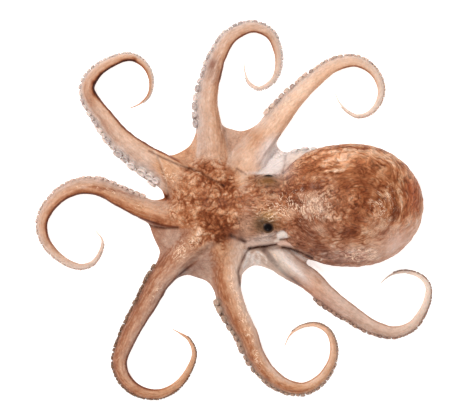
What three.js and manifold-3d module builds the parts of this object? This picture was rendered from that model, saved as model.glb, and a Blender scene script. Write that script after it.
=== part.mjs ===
// A whole raw octopus, laid out on a flat surface with its back up and its eight arms curled.
// Millimetres, +Z up. The bag-shaped mantle points along +X and the arms fan out from the crown,
// so +Y is the animal's right side. The origin is on the surface, under the middle of the spread.
// The animal is one closed solid: mantle, head, eyes, crown, web, arms and suckers are fused.

import * as THREE from "three";
import { mergeVertices } from "three/addons/utils/BufferGeometryUtils.js";
import Module from "manifold-3d";

// Mantle: an egg that is blunt at the tail and runs on under the head. The powers shape its
// outline towards each end, and it is widest at some height above the surface.
const MANTLE_CENTRE = [105.5, 5];
const MANTLE_TAIL_REACH = 62;
const MANTLE_NECK_REACH = 72;
const MANTLE_HALF_WIDTH = 55;
const MANTLE_HEIGHT = 62;
const MANTLE_WIDEST_AT = 25;
const MANTLE_BELOW = 34;
const MANTLE_TAIL_POWER = 2.05;
const MANTLE_NECK_POWER = 2.5;

// Head and its two eye bulges: [x, y, z] of the middle and the way that the pupil looks.
const HEAD_CENTRE = [31, 0];
const HEAD_HALF_LENGTH = 49;
const HEAD_HALF_WIDTH = 32;
const HEAD_HEIGHT = 42;
const EYES = {
  left: { middle: [27, -14, 31], looks: [0.12, -0.05, 1] },
  right: { middle: [29, 20, 29], looks: [0, 1, 0.25] },
};
const EYE_RADIUS = 12.5;
const PUPIL_RADIUS = 4;
const PUPIL_PROUD = 0.8;

// Crown and web: a low dome around the mouth, running out to a web with a bay between each two arms.
const CROWN_CENTRE = [-19, -3.5];
const CROWN_HEIGHT = 34;
const CROWN_REACH = 82;
const CROWN_ROUND = 2;
const CROWN_FALL = 1.6;
const WEB_THICKNESS = 3.2;
const WEB_EDGE_ROUND = 5;
const WEB_SWEEP = 2.2;
const WEB_SECTORS = 64;
const MOUTH_RADIUS = 9;
const MOUTH_DEPTH = 5;
// Each arm's bearing from the crown's centre, in degrees, and how far the web follows that arm.
const WEB_ARMS = [
  [30, 92],
  [57, 92],
  [94, 84],
  [139, 76],
  [174, 62],
  [230, 84],
  [282, 66],
  [324, 80],
];
// The bay after each of those arms: its bearing and the distance to the web's edge there.
const WEB_BAYS = [
  [43, 83],
  [75, 79],
  [118, 65],
  [159, 46],
  [212, 59],
  [250, 59],
  [303, 57],
  [356, 78],
];

// Arms: the section is rounded above and flat below, and tapers to a thread at the tip.
const ARM_SIDES = 10;
const ARM_STEPS = 30;
const ARM_CROWDING = 1.2;
const ARM_FLAT_SHARE = 0.45;
const ARM_ROUND_SHARE = 0.63;
const ARM_ROOT_HEIGHT_RATIO = 0.74;
const ARM_TIP_HEIGHT_RATIO = 1;
const TIP_WIDTH = 1.5;
const FLARE_WIDTH = 5;
const FLARE_REACH = 0.1;
const ROOT_SINK = 0.55;
const ROOT_SINK_REACH = 0.09;

// root: full width where the arm leaves the crown. taper: 1 is a straight taper.
// outer: the side on which the suckers show, 1 for the left of the route and -1 for the right.
const ARMS = {
  right_1: {
    root: 33,
    taper: 1.25,
    outer: 1,
    route: [
      [-36, 13], [-65, 37], [-84, 49], [-105, 66], [-119, 84], [-131, 101], [-134, 112],
      [-127, 124], [-115, 133], [-96, 139], [-83, 132], [-77, 119], [-79, 105], [-87, 97], [-96, 93],
    ],
  },
  right_2: {
    root: 28,
    taper: 1.2,
    outer: 1,
    route: [
      [-22, 28], [-22, 56], [-25, 81], [-26, 103], [-21, 125], [-15, 142], [-4, 158], [15, 166],
      [30, 160], [37, 146], [38, 130], [33, 118], [21, 111], [12, 116], [8, 126], [8, 134],
    ],
  },
  right_3: {
    root: 30,
    taper: 1.3,
    outer: 1,
    route: [
      [3, 32], [14, 52], [39, 85], [53, 102], [71, 119], [90, 132], [108, 135], [122, 128],
      [130, 115], [130, 102], [122, 90], [110, 86], [99, 92], [93, 99], [90, 106],
    ],
  },
  right_4: {
    root: 27,
    taper: 1.1,
    outer: 1,
    route: [
      [10, 16], [42, 36], [60, 44], [80, 45], [102, 40], [121, 22], [128, 0], [118, -18],
      [101, -24], [88, -15], [87, -3], [95, 4],
    ],
  },
  left_1: {
    root: 23,
    taper: 1,
    outer: -1,
    route: [
      [-37, -2], [-66, -2], [-85, 3], [-104, 12], [-123, 21], [-140, 22], [-157, 15], [-169, 3],
      [-175, -11], [-172, -27], [-159, -42], [-142, -50], [-130, -47], [-122, -35], [-121, -26],
      [-127, -18],
    ],
  },
  left_2: {
    root: 27,
    taper: 1,
    outer: -1,
    route: [
      [-25, -20], [-53, -44], [-69, -62], [-80, -82], [-91, -101], [-100, -120], [-105, -136],
      [-100, -152], [-86, -163], [-69, -165], [-53, -157], [-42, -142], [-38, -128], [-43, -116],
      [-50, -111], [-57, -107],
    ],
  },
  left_3: {
    root: 30,
    taper: 1.2,
    outer: -1,
    route: [
      [-10, -22], [-8, -49], [-8, -68], [0, -92], [10, -111], [17, -129], [28, -145], [44, -157],
      [61, -160], [76, -152], [86, -137], [88, -122], [83, -109], [72, -103], [59, -105], [49, -112],
      [44, -122],
    ],
  },
  left_4: {
    root: 29,
    taper: 1.2,
    outer: -1,
    route: [
      [12, -13], [30, -34], [46, -49], [65, -61], [83, -77], [105, -93], [125, -105], [143, -109],
      [158, -104], [167, -93], [173, -79], [173, -67], [166, -59], [152, -55], [140, -58], [131, -65],
    ],
  },
};

// Suckers that show along the outer side of each arm, between two shares of its length.
// Spacing, radius, depth and height of the middle are shares of the arm's width there.
const SUCKERS_FROM = 0.22;
const SUCKERS_TO = 0.58;
const SUCKER_SPACING = 0.6;
const SUCKER_RADIUS = 0.22;
const SUCKER_DEPTH = 0.3;
const SUCKER_LEVEL = 0.27;
const SUCKER_TAPER = 0.8;
const SUCKER_PROUD = 1.6;
const SUCKER_SIDES = 6;
const SUCKER_DIP = 0.35;

const SKIN = new THREE.MeshStandardMaterial({ color: 0xb98060, roughness: 0.45, metalness: 0 });

const wasm = await Module();
wasm.setup();

const mix = (a, b, t) => a + (b - a) * t;

// A geometry's vertices moved by a function of their own position, as a manifold solid.
function shaped(geometry, place) {
  const moved = new THREE.BufferGeometry();
  moved.setAttribute("position", geometry.getAttribute("position").clone());
  moved.setIndex(geometry.getIndex());
  const position = moved.getAttribute("position");
  for (let i = 0; i < position.count; i += 1) {
    const p = place(position.getX(i), position.getY(i), position.getZ(i));
    position.setXYZ(i, p[0], p[1], p[2]);
  }
  const merged = mergeVertices(moved, 1e-3);
  const made = new wasm.Manifold(
    new wasm.Mesh({
      numProp: 3,
      vertProperties: merged.getAttribute("position").array,
      triVerts: new Uint32Array(merged.getIndex().array),
    }),
  );
  if (made.volume() < 0) throw new Error("a piece is inside out");
  return made;
}

// A height that is rounded above and flat on the surface below, for up from -1 to 1.
function bedded(up) {
  return Math.max(0, ARM_FLAT_SHARE + ARM_ROUND_SHARE * up) / (ARM_FLAT_SHARE + ARM_ROUND_SHARE);
}

function mantle() {
  const egg = new THREE.SphereGeometry(1, 32, 20);
  egg.rotateX(Math.PI / 2);
  return shaped(egg, (x, y, z) => {
    const reach = x > 0 ? MANTLE_TAIL_REACH : MANTLE_NECK_REACH;
    const power = x > 0 ? MANTLE_TAIL_POWER : MANTLE_NECK_POWER;
    const ring = Math.sqrt(Math.max(1e-9, 1 - x * x));
    const full = Math.sqrt(Math.max(0, 1 - Math.pow(Math.abs(x), power)));
    const across = (y / ring) * full;
    const up = (z / ring) * full;
    const rise = z > 0 ? MANTLE_HEIGHT - MANTLE_WIDEST_AT : MANTLE_BELOW;
    return [
      MANTLE_CENTRE[0] + x * reach,
      MANTLE_CENTRE[1] + across * MANTLE_HALF_WIDTH,
      Math.max(0, MANTLE_WIDEST_AT + up * rise),
    ];
  });
}

function head() {
  const ball = new THREE.SphereGeometry(1, 24, 14);
  ball.rotateX(Math.PI / 2);
  return shaped(ball, (x, y, z) => [
    HEAD_CENTRE[0] + x * HEAD_HALF_LENGTH,
    HEAD_CENTRE[1] + y * HEAD_HALF_WIDTH,
    HEAD_HEIGHT * bedded(z),
  ]);
}

function eye({ middle, looks }) {
  const centre = new THREE.Vector3(...middle);
  const way = new THREE.Vector3(...looks).normalize();
  const turn = new THREE.Quaternion().setFromUnitVectors(new THREE.Vector3(0, 0, 1), way);
  const ball = new THREE.SphereGeometry(EYE_RADIUS, 16, 10);
  ball.rotateX(Math.PI / 2);
  const bulge = shaped(ball, (x, y, z) =>
    new THREE.Vector3(x, y, z).applyQuaternion(turn).add(centre).toArray(),
  );
  const proud = centre.clone().addScaledVector(way, EYE_RADIUS + PUPIL_PROUD - PUPIL_RADIUS);
  const pupil = new THREE.SphereGeometry(PUPIL_RADIUS, 10, 6);
  return bulge.add(
    shaped(pupil, (x, y, z) => new THREE.Vector3(x, y, z).add(proud).toArray()),
  );
}

// How far the web reaches from the crown's centre at a bearing in degrees.
function webReach(bearing) {
  const turn = (a) => ((a % 360) + 360) % 360;
  const here = turn(bearing);
  const n = WEB_ARMS.length;
  for (let i = 0; i < n; i += 1) {
    const [from, fromReach] = WEB_ARMS[i];
    const [to, toReach] = WEB_ARMS[(i + 1) % n];
    const [bay, bayReach] = WEB_BAYS[i];
    const along = turn(here - from);
    if (along > turn(to - from)) continue;
    const middle = turn(bay - from);
    const before = along < middle;
    const climb = before ? 1 - along / middle : (along - middle) / (turn(to - from) - middle);
    const share = Math.max(0, climb);
    return mix(bayReach, before ? fromReach : toReach, Math.pow(share, WEB_SWEEP));
  }
  return WEB_BAYS[n - 1][1];
}

function crown() {
  // The profile holds the share of the reach and whether the point is on the upper face.
  const profile = [
    [0, 0], [1, 0], [1, 1], [0.95, 1], [0.86, 1], [0.74, 1], [0.58, 1], [0.4, 1], [0.2, 1], [0, 1],
  ];
  const disc = new THREE.LatheGeometry(
    profile.map(([share, level]) => new THREE.Vector2(share, level)),
    WEB_SECTORS,
  );
  disc.rotateX(Math.PI / 2);
  return shaped(disc, (x, y, z) => {
    const share = Math.min(1, Math.hypot(x, y));
    const bearing = Math.atan2(y, x);
    const reach = webReach(THREE.MathUtils.radToDeg(bearing)) * share;
    const dome = Math.pow(Math.max(0, 1 - (reach / CROWN_REACH) ** CROWN_ROUND), CROWN_FALL);
    const edge = 1 - share ** WEB_EDGE_ROUND;
    const rise = mix(WEB_THICKNESS, CROWN_HEIGHT, dome * edge);
    return [
      CROWN_CENTRE[0] + reach * Math.cos(bearing),
      CROWN_CENTRE[1] + reach * Math.sin(bearing),
      z * rise,
    ];
  });
}

// The shallow bowl in the underside where the mouth is.
function mouth() {
  const ball = new THREE.SphereGeometry(MOUTH_RADIUS, 16, 12);
  ball.rotateX(Math.PI / 2);
  return shaped(ball, (x, y, z) => [
    CROWN_CENTRE[0] + x,
    CROWN_CENTRE[1] + y,
    z + MOUTH_DEPTH - MOUTH_RADIUS,
  ]);
}

function armLine(arm) {
  const points = arm.route.map(([x, y]) => new THREE.Vector3(x, y, 0));
  const line = new THREE.CatmullRomCurve3(points, false, "centripetal");
  line.arcLengthDivisions = 400;
  return line;
}

function armWidth(arm, share) {
  const tapered = mix(TIP_WIDTH, arm.root, Math.pow(1 - share, arm.taper));
  return tapered + FLARE_WIDTH * Math.exp(-Math.pow(share / FLARE_REACH, 2));
}

// The root starts low, inside the crown, and the arm comes to its full height further out.
function armHeight(arm, share) {
  const sink = 1 - ROOT_SINK * Math.exp(-Math.pow(share / ROOT_SINK_REACH, 2));
  return sink * armWidth(arm, share) * mix(ARM_ROOT_HEIGHT_RATIO, ARM_TIP_HEIGHT_RATIO, share);
}

// The point of an arm's middle at a share of its length, and the level direction to its left.
function armFrame(line, share) {
  const at = line.getPointAt(share);
  const way = line.getTangentAt(share);
  return { at, left: new THREE.Vector3(-way.y, way.x, 0) };
}

function armBody(arm) {
  const line = armLine(arm);
  const tube = new THREE.CylinderGeometry(1, 1, 1, ARM_SIDES, ARM_STEPS);
  const spin = Math.PI / ARM_SIDES;
  return shaped(tube, (x, y, z) => {
    const share = 1 - Math.pow(0.5 - y, ARM_CROWDING);
    const { at, left } = armFrame(line, share);
    const round = Math.hypot(x, z);
    const angle = Math.atan2(z, x) + spin;
    const across = -round * Math.cos(angle) * 0.5 * armWidth(arm, share);
    const up = round * Math.sin(angle);
    return [
      at.x + left.x * across,
      at.y + left.y * across,
      armHeight(arm, share) * bedded(up),
    ];
  });
}

// One row of stubby cups along the outer side of an arm, each leaning a little down.
function armSuckers(arm) {
  const line = armLine(arm);
  const length = line.getLength();
  const cups = [];
  let share = SUCKERS_FROM;
  while (share < SUCKERS_TO) {
    const { at, left } = armFrame(line, share);
    const width = armWidth(arm, share);
    const radius = SUCKER_RADIUS * width;
    const out = left.clone().multiplyScalar(arm.outer);
    const way = out.clone().setZ(-SUCKER_DIP).normalize();
    const turn = new THREE.Quaternion().setFromUnitVectors(new THREE.Vector3(0, 1, 0), way);
    const depth = SUCKER_DEPTH * width;
    const reach = 0.5 * width + SUCKER_PROUD - 0.5 * depth;
    const rest = at.clone().addScaledVector(out, reach).setZ(SUCKER_LEVEL * width);
    const cup = new THREE.CylinderGeometry(radius, radius * SUCKER_TAPER, depth, SUCKER_SIDES, 1);
    cups.push(
      shaped(cup, (x, y, z) => {
        const p = new THREE.Vector3(x, y, z).applyQuaternion(turn).add(rest);
        return [p.x, p.y, Math.max(0, p.z)];
      }),
    );
    share += (SUCKER_SPACING * width) / length;
  }
  return cups;
}

function octopus() {
  let whole = mantle().add(head()).add(crown());
  for (const place of Object.values(EYES)) whole = whole.add(eye(place));
  for (const arm of Object.values(ARMS)) {
    whole = whole.add(armBody(arm));
    for (const cup of armSuckers(arm)) whole = whole.add(cup);
  }
  return whole.subtract(mouth());
}

function meshOf(solid, name, material) {
  const { vertProperties, triVerts } = solid.getMesh();
  const geometry = new THREE.BufferGeometry();
  geometry.setAttribute("position", new THREE.BufferAttribute(vertProperties, 3));
  geometry.setIndex(new THREE.BufferAttribute(triVerts, 1));
  geometry.computeVertexNormals();
  const mesh = new THREE.Mesh(geometry, material);
  mesh.name = name;
  return mesh;
}

const group = new THREE.Group();
group.add(meshOf(octopus(), "octopus", SKIN));

export default group;
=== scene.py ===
# A whole raw octopus on a plain pale floor, seen from straight above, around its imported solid.
# The sizes below are in millimetres, in the part's own frame, and MM turns them into metres.
# One distance field joins the mantle, head, crown, web and arms into a skin without seams. Its
# creases and wrinkles are moves of the vertices, and its suckers and eyes are meshes of their own.

import itertools
import math

import bpy
import numpy as np
import openvdb
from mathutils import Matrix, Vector


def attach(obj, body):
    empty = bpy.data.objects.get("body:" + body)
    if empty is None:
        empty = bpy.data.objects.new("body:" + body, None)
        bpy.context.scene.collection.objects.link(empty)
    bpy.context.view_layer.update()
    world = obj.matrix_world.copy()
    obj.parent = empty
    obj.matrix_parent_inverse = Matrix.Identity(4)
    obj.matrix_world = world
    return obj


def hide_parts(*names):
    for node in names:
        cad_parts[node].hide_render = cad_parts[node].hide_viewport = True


MM = 0.001
NODE = "octopus"

# Mantle: an egg that is blunt at the tail and runs on under the head.
MANTLE_CENTRE = (105.5, 5.0, 25.0)
MANTLE_TAIL_REACH = 62.0
MANTLE_NECK_REACH = 72.0
MANTLE_HALF_WIDTH = 55.0
MANTLE_ABOVE = 37.0
MANTLE_BELOW = 34.0
MANTLE_TAIL_POWER = 2.05
MANTLE_NECK_POWER = 2.5

# Head: an egg whose flat underside lies on the crown's. Eyes: middles of the bulges.
HEAD_CENTRE = (31.0, 0.0, 17.5)
HEAD_HALF = (49.0, 32.0, 24.5)
EYES = {
    "left": {"middle": (27.0, -14.0, 31.0), "looks": (0.12, -0.05, 1.0)},
    "right": {"middle": (29.0, 20.0, 29.0), "looks": (0.0, 1.0, 0.12)},
}
EYE_RADIUS = 12.5

# Crown and web: a low dome around the mouth, running out to a web with a bay between two arms.
CROWN_CENTRE = (-19.0, -3.5)
CROWN_HEIGHT = 34.0
CROWN_REACH = 82.0
CROWN_ROUND = 2.0
CROWN_FALL = 1.6
WEB_THICKNESS = 3.2
WEB_EDGE_ROUND = 5.0
WEB_SWEEP = 2.2
# Each arm's bearing from the crown's centre in degrees, and how far the web follows that arm.
WEB_ARMS = ((30, 92), (57, 92), (94, 84), (139, 76), (174, 62), (230, 84), (282, 66), (324, 80))
# The bay after each of those arms: its bearing and the distance to the web's edge there.
WEB_BAYS = ((43, 83), (75, 79), (118, 65), (159, 46), (212, 59), (250, 59), (303, 57), (356, 78))
MOUTH_RADIUS = 9.0
MOUTH_DEPTH = 5.0

# Arms: root is the full width where the arm leaves the crown and a taper of 1 is straight. outer
# is the side on which the suckers show, 1 for the left of the route and -1 for the right, and
# roll is how far that side is turned up, in degrees.
ARMS = {
    "right_1": {
        "root": 33, "taper": 1.25, "outer": 1, "roll": 28,
        "route": (
            (-36, 13), (-65, 37), (-84, 49), (-105, 66), (-119, 84), (-131, 101), (-134, 112),
            (-127, 124), (-115, 133), (-96, 139), (-83, 132), (-77, 119), (-79, 105), (-87, 97),
            (-96, 93),
        ),
    },
    "right_2": {
        "root": 28, "taper": 1.2, "outer": 1, "roll": 22,
        "route": (
            (-22, 28), (-22, 56), (-25, 81), (-26, 103), (-21, 125), (-15, 142), (-4, 158),
            (15, 166), (30, 160), (37, 146), (38, 130), (33, 118), (21, 111), (12, 116), (8, 126),
            (8, 134),
        ),
    },
    "right_3": {
        "root": 30, "taper": 1.3, "outer": 1, "roll": 20,
        "route": (
            (3, 32), (14, 52), (39, 85), (53, 102), (71, 119), (90, 132), (108, 135), (122, 128),
            (130, 115), (130, 102), (122, 90), (110, 86), (99, 92), (93, 99), (90, 106),
        ),
    },
    "right_4": {
        "root": 27, "taper": 1.1, "outer": 1, "roll": 0,
        "route": (
            (10, 16), (42, 36), (60, 44), (80, 45), (102, 40), (121, 22), (128, 0), (118, -18),
            (101, -24), (88, -15), (87, -3), (95, 4),
        ),
    },
    "left_1": {
        "root": 23, "taper": 1.0, "outer": -1, "roll": 14,
        "route": (
            (-37, -2), (-66, -2), (-85, 3), (-104, 12), (-123, 21), (-140, 22), (-157, 15),
            (-169, 3), (-175, -11), (-172, -27), (-159, -42), (-142, -50), (-130, -47),
            (-122, -35), (-121, -26), (-127, -18),
        ),
    },
    "left_2": {
        "root": 27, "taper": 1.0, "outer": -1, "roll": 4,
        "route": (
            (-25, -20), (-53, -44), (-69, -62), (-80, -82), (-91, -101), (-100, -120),
            (-105, -136), (-100, -152), (-86, -163), (-69, -165), (-53, -157), (-42, -142),
            (-38, -128), (-43, -116), (-50, -111), (-57, -107),
        ),
    },
    "left_3": {
        "root": 30, "taper": 1.2, "outer": -1, "roll": 12,
        "route": (
            (-10, -22), (-8, -49), (-8, -68), (0, -92), (10, -111), (17, -129), (28, -145),
            (44, -157), (61, -160), (76, -152), (86, -137), (88, -122), (83, -109), (72, -103),
            (59, -105), (49, -112), (44, -122),
        ),
    },
    "left_4": {
        "root": 29, "taper": 1.2, "outer": -1, "roll": 10,
        "route": (
            (12, -13), (30, -34), (46, -49), (65, -61), (83, -77), (105, -93), (125, -105),
            (143, -109), (158, -104), (167, -93), (173, -79), (173, -67), (166, -59), (152, -55),
            (140, -58), (131, -65),
        ),
    },
}
ROOT_HEIGHT_RATIO = 0.74
TIP_HEIGHT_RATIO = 1.0
TIP_WIDTH = 1.5
FLARE_WIDTH = 5.0
FLARE_REACH = 0.1
ROOT_SINK = 0.55
ROOT_SINK_REACH = 0.09
# An arm's section is an ellipse cut off flat below: shares of the arm's height.
SECTION_MIDDLE = 0.417
SECTION_HALF = 0.583

# The field's grid, and how softly its forms run into each other.
STEP = 0.8
GRID_LOW = np.array((-190.0, -180.0, -2.4))
GRID_HIGH = np.array((188.0, 180.0, 66.0))
SHAPE = (np.ceil((GRID_HIGH - GRID_LOW) / STEP) + 1).astype(int)
BAND = 3.0
ARM_BLEND = 9.0
HEAD_BLEND = 7.0
BODY_BLEND = 10.0
SHARP_BLEND = 1.6
EYE_BLEND = 4.0
SOCKET_BLEND = 1.5
ROLL_BLEND = 1.2
EDGE_BLEND = 2.0
# Where the head runs into the crown: the join is soft before the first X and sharp after the last.
SOFT_JOIN = (-5.0, 22.0)
# The underside's height and how softly it rounds, and the slope that evens out the crown's field.
UNDERSIDE = 0.3
UNDERSIDE_BLEND = 1.0
CROWN_SLOPE = 0.85
# The boxes of the grid in which the crown, and the head and mantle, are worked out, and how far
# an arm's box reaches past its line and up.
CROWN_BOX = ((-125, -115, -9), (95, 110, 60))
TOP_BOX = ((-40, -70, -9), (190, 80, 99))
ARM_MARGIN = 26
ARM_TOP = 34
FIELD_TIP_WIDTH = 3.2
SKIN_TRIANGLES = 195000
# How far an arm's section leans towards its inner side, sideways for each millimetre up.
ARM_LEAN = 0.4
# How far from an arm's line, along X and Y, points of the skin are still compared with it.
SKIN_MARGIN = 22

# The arms' thin ends: how far they start inside the skin and how far apart their rings are, in
# half millimetres, how much slimmer they get and their lowest point.
TIP_SIDES = 10
TIP_OVERLAP = 4
TIP_STEP = 3
TIP_SLIM = 0.5
TIP_LOWEST = 0.25

# Random values for noise: how many rows of them, and the primes that mix a cell's coordinates.
TABLE_ROWS = 4096
PRIMES = (73856093, 19349663, 83492791)
# How many points are compared with an arm at a time, and a distance beyond all others.
CHUNK = 4000
FAR = 99.0

# Small forms beside the left eye: rolls of skin along a line in space.
ROLLS = {
    "collar_fold": {
        "line": ((9, -30, 21), (24, -28.5, 27), (38, -26, 30)), "radius": 3.0, "shade": (188, 160, 146),
    },
    "collar_end": {"line": ((36, -26, 29.5), (40, -22.5, 33)), "radius": 2.6, "shade": (204, 186, 174)},
    "collar_nub": {
        "line": ((39.5, -20.4, 34.4), (44.5, -19.8, 35.4)), "radius": 3.5, "shade": (222, 211, 203),
    },
    "funnel_tip": {"line": ((38, -28, 29), (48.5, -30.5, 30.5)), "radius": 2.8, "shade": (200, 166, 150)},
}
# The skin between the left_4 arm's root and the mantle.
ARMPIT = {"line": ((42, -31, 8), (60, -38.5, 7)), "radius": 7.5}
ARMPIT_BLEND = 5.0
# The eyes' sockets and balls.
SOCKET_RADIUS = 7.8
SOCKET_OUT = 5.2
EYEBALL_HALF = (6.4, 5.6, 3.4)
EYEBALL_SUNK = 3.3
EYEBALL_RINGS = 16
EYEBALL_SIDES = 28

# Suckers: the cup's section from the skin over the rim into the hollow, as radius and height,
# the angles of the two rows on the arm's section, and sizes as shares of the arm's width.
CUP = (
    (0.8, -1.1), (0.84, 0.1), (0.96, 0.45), (1.04, 0.75), (0.97, 0.95), (0.8, 0.9), (0.58, 0.62),
    (0.3, 0.42),
)
CUP_SIDES = 10
CUP_ROWS = (-12.0, -50.0)
CUP_SIZE = 0.145
CUP_SMALLEST = 0.25
CUP_STEP = 2.15
CUPS_TO = 0.95
# The second row starts a little later, by a share of the arm, and sizes and angles differ a bit.
CUP_STAGGER = 0.006
CUP_SIZE_SPREAD = (0.75, 1.2)
CUP_ANGLE_SPREAD = 6.0
CUP_LOWEST = 0.2
# An arm is not rolled where it is narrower than the first width, and wholly from the second on.
ROLL_WIDTHS = (8.0, 28.0)
# Painted shade and light on a cup: how bright it is painted at each height, darker low on it and in its
# hollow, lightest at its rim.
CUP_PAINTED_SHADING = ((0.0, 0.9), (0.3, 0.93), (0.6, 0.97), (0.9, 1.04))
# The pad of skin under each sucker: its reach and rise as shares of the sucker's size.
PAD_REACH = 1.5
PAD_RISE = 0.28
SUCKER_SEED = 7

# Relief in millimetres: how deep the lines are, how high the lumps and the finest grain, and how
# deep the mantle's mottling is.
RELIEF = {
    "mantle": (0.6, 0.6, 0.15), "head": (0.6, 0.4, 0.15), "crown": (0.35, 0.6, 0.2),
    "arms": (0.4, 0.5, 0.15), "web": (0.0, 0.3, 0.12),
}
MOTTLE_DEPTH = 0.35
# The width from which an arm has its whole relief.
FULL_RELIEF_WIDTH = 22.0

# The mantle's wrinkles run along it up to this place in plan, and from there round its tail end,
# TAIL_ARC millimetres for each radian.
TAIL_TURN = (96.0, 5.0)
TAIL_ARC = 38.0
# Around that place the wrinkles have no direction: none at all in the middle, and more of one from
# the first of these distances to the second.
CALM = (20.0, 56.0)

# The photograph's frame, the pixel of it over the part's origin, and the camera over it.
PHOTO_WIDTH = 473
PHOTO_HEIGHT = 415
MM_PER_PIXEL = 0.9
ORIGIN_PIXEL = (236.0, 211.0)
CAMERA_HEIGHT = 2200.0
FOCUS_HEIGHT = 12.0
SENSOR = 36.0

# Floor and light: half the floor's width in millimetres, the sky's strength, the lamps' colour,
# and each lamp's name, place and size in metres and power in watts.
FLOOR_HALF = 2500.0
WORLD_STRENGTH = 0.6
LAMP_COLOUR = (1.0, 0.965, 0.93)
LIGHTS = (
    ("key", (-0.75, 0.8, 1.7), 0.45, 26),
    ("low", (0.15, -0.95, 1.6), 0.3, 6),
)

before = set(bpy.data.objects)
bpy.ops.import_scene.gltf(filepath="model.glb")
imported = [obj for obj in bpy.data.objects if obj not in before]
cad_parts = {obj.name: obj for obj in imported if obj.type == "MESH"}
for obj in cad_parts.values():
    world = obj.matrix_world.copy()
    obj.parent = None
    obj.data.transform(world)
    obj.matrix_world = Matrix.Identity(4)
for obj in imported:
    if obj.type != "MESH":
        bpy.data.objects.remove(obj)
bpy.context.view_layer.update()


# Numbers

def mix(a, b, t):
    """a where t is 0 and b where t is 1."""
    return a + (b - a) * t


def ramp(x, low, high):
    """0 below low, 1 above high and smooth between them."""
    t = np.clip((x - low) / (high - low), 0.0, 1.0)
    return t * t * (3.0 - 2.0 * t)


def soft_min(a, b, reach):
    """The smaller of two distances, rounded where they are within reach of each other."""
    h = np.maximum(reach - np.abs(a - b), 0.0) / reach
    return np.minimum(a, b) - h * h * reach * 0.25


def soft_max(a, b, reach):
    return -soft_min(-a, -b, reach)


def pick(cell):
    """A row of a table of random values, for each whole-numbered cell of space."""
    return (cell[:, 0] * PRIMES[0] ^ cell[:, 1] * PRIMES[1] ^ cell[:, 2] * PRIMES[2]) % TABLE_ROWS


def noise(points, size, seed):
    """Smooth random values from about -1 to 1 at points, with lumps about as large as size."""
    table = np.random.RandomState(seed).normal(size=(TABLE_ROWS, 3)).astype(np.float32)
    table /= np.linalg.norm(table, axis=1)[:, None]
    where = points / np.asarray(size, np.float32)
    cell = np.floor(where).astype(np.int64)
    part = (where - cell).astype(np.float32)
    ease = part * part * part * (part * (part * 6.0 - 15.0) + 10.0)
    total = np.zeros(len(points), np.float32)
    for corner in itertools.product((0, 1), repeat=3):
        pull = np.einsum("ij,ij->i", table[pick(cell + corner)], part - np.float32(corner))
        weight = np.prod(np.where(np.array(corner) == 1, ease, 1.0 - ease), axis=1)
        total += pull * weight
    return total * 1.6


# Arms

def spline(route):
    """Points along a centripetal Catmull-Rom curve through the route, about 0.5 mm apart."""
    knots = np.array(route, float)
    knots = np.vstack([2 * knots[0] - knots[1], knots, 2 * knots[-1] - knots[-2]])
    points = []
    for a, b, c, d in zip(knots, knots[1:], knots[2:], knots[3:]):
        gaps = [math.sqrt(np.linalg.norm(q - p)) for p, q in ((a, b), (b, c), (c, d))]
        start = (b - a) / gaps[0] - (c - a) / (gaps[0] + gaps[1]) + (c - b) / gaps[1]
        stop = (c - b) / gaps[1] - (d - b) / (gaps[1] + gaps[2]) + (d - c) / gaps[2]
        start, stop = start * gaps[1], stop * gaps[1]
        for t in np.linspace(0, 1, 48, endpoint=False):
            cube = 2 * b - 2 * c + start + stop
            square = 3 * c - 3 * b - 2 * start - stop
            points.append(cube * t**3 + square * t**2 + start * t + b)
    points.append(knots[-2])
    points = np.array(points)
    run = np.concatenate([[0], np.cumsum(np.linalg.norm(np.diff(points, axis=0), axis=1))])
    even = np.linspace(0, run[-1], int(run[-1] / 0.5) + 1)
    return np.stack([np.interp(even, run, points[:, i]) for i in range(2)], axis=1), run[-1]


def lay_out(arm):
    """Adds to an arm its line, length, and the width, height and way at each point of it."""
    line, length = spline(arm["route"])
    share = np.linspace(0, 1, len(line))
    width = mix(TIP_WIDTH, arm["root"], (1 - share) ** arm["taper"])
    width = width + FLARE_WIDTH * np.exp(-((share / FLARE_REACH) ** 2))
    sink = 1 - ROOT_SINK * np.exp(-((share / ROOT_SINK_REACH) ** 2))
    way = np.gradient(line, axis=0)
    way /= np.linalg.norm(way, axis=1)[:, None]
    left = np.stack([-way[:, 1], way[:, 0]], axis=1)
    arm.update(
        line=line,
        length=length,
        share=share,
        width=width,
        height=sink * width * mix(ROOT_HEIGHT_RATIO, TIP_HEIGHT_RATIO, share),
        way=way,
        out=left * arm["outer"],
    )


def nearest_on(arm, x, y, stop):
    """For points in plan: the arm's nearest station, before stop, and the distance to its line."""
    line = arm["line"][:stop]
    best = np.zeros(len(x), int)
    gap = np.zeros(len(x), np.float32)
    for first in range(0, len(x), CHUNK):
        part = slice(first, first + CHUNK)
        far = np.hypot(x[part, None] - line[None, :, 0], y[part, None] - line[None, :, 1])
        station = np.argmin(far - arm["width"][None, :stop] * 0.5, axis=1)
        best[part] = station
        gap[part] = far[np.arange(len(station)), station]
    return best, gap


def side_of(arm, nearest, x, y):
    """How far points are out from an arm's line towards its suckers, and how far along it."""
    dx, dy = x - arm["line"][nearest, 0], y - arm["line"][nearest, 1]
    out, way = arm["out"][nearest], arm["way"][nearest]
    return dx * out[:, 0] + dy * out[:, 1], dx * way[:, 0] + dy * way[:, 1]


# The distance field

def window(low, high):
    """The slices of the grid that cover a box, and the coordinates along each axis there."""
    first = np.maximum(0, np.floor((np.array(low) - GRID_LOW) / STEP)).astype(int)
    last = np.minimum(SHAPE, np.ceil((np.array(high) - GRID_LOW) / STEP) + 1).astype(int)
    axes = [GRID_LOW[i] + STEP * np.arange(first[i], last[i]) for i in range(3)]
    grid = np.meshgrid(*[a.astype(np.float32) for a in axes], indexing="ij", sparse=True)
    return tuple(slice(a, b) for a, b in zip(first, last)), grid


def outside(reach, slope):
    """About how far a point is outside a form whose surface is where reach is 1."""
    return (reach - 1.0) * reach / (slope + 1e-6)


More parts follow.
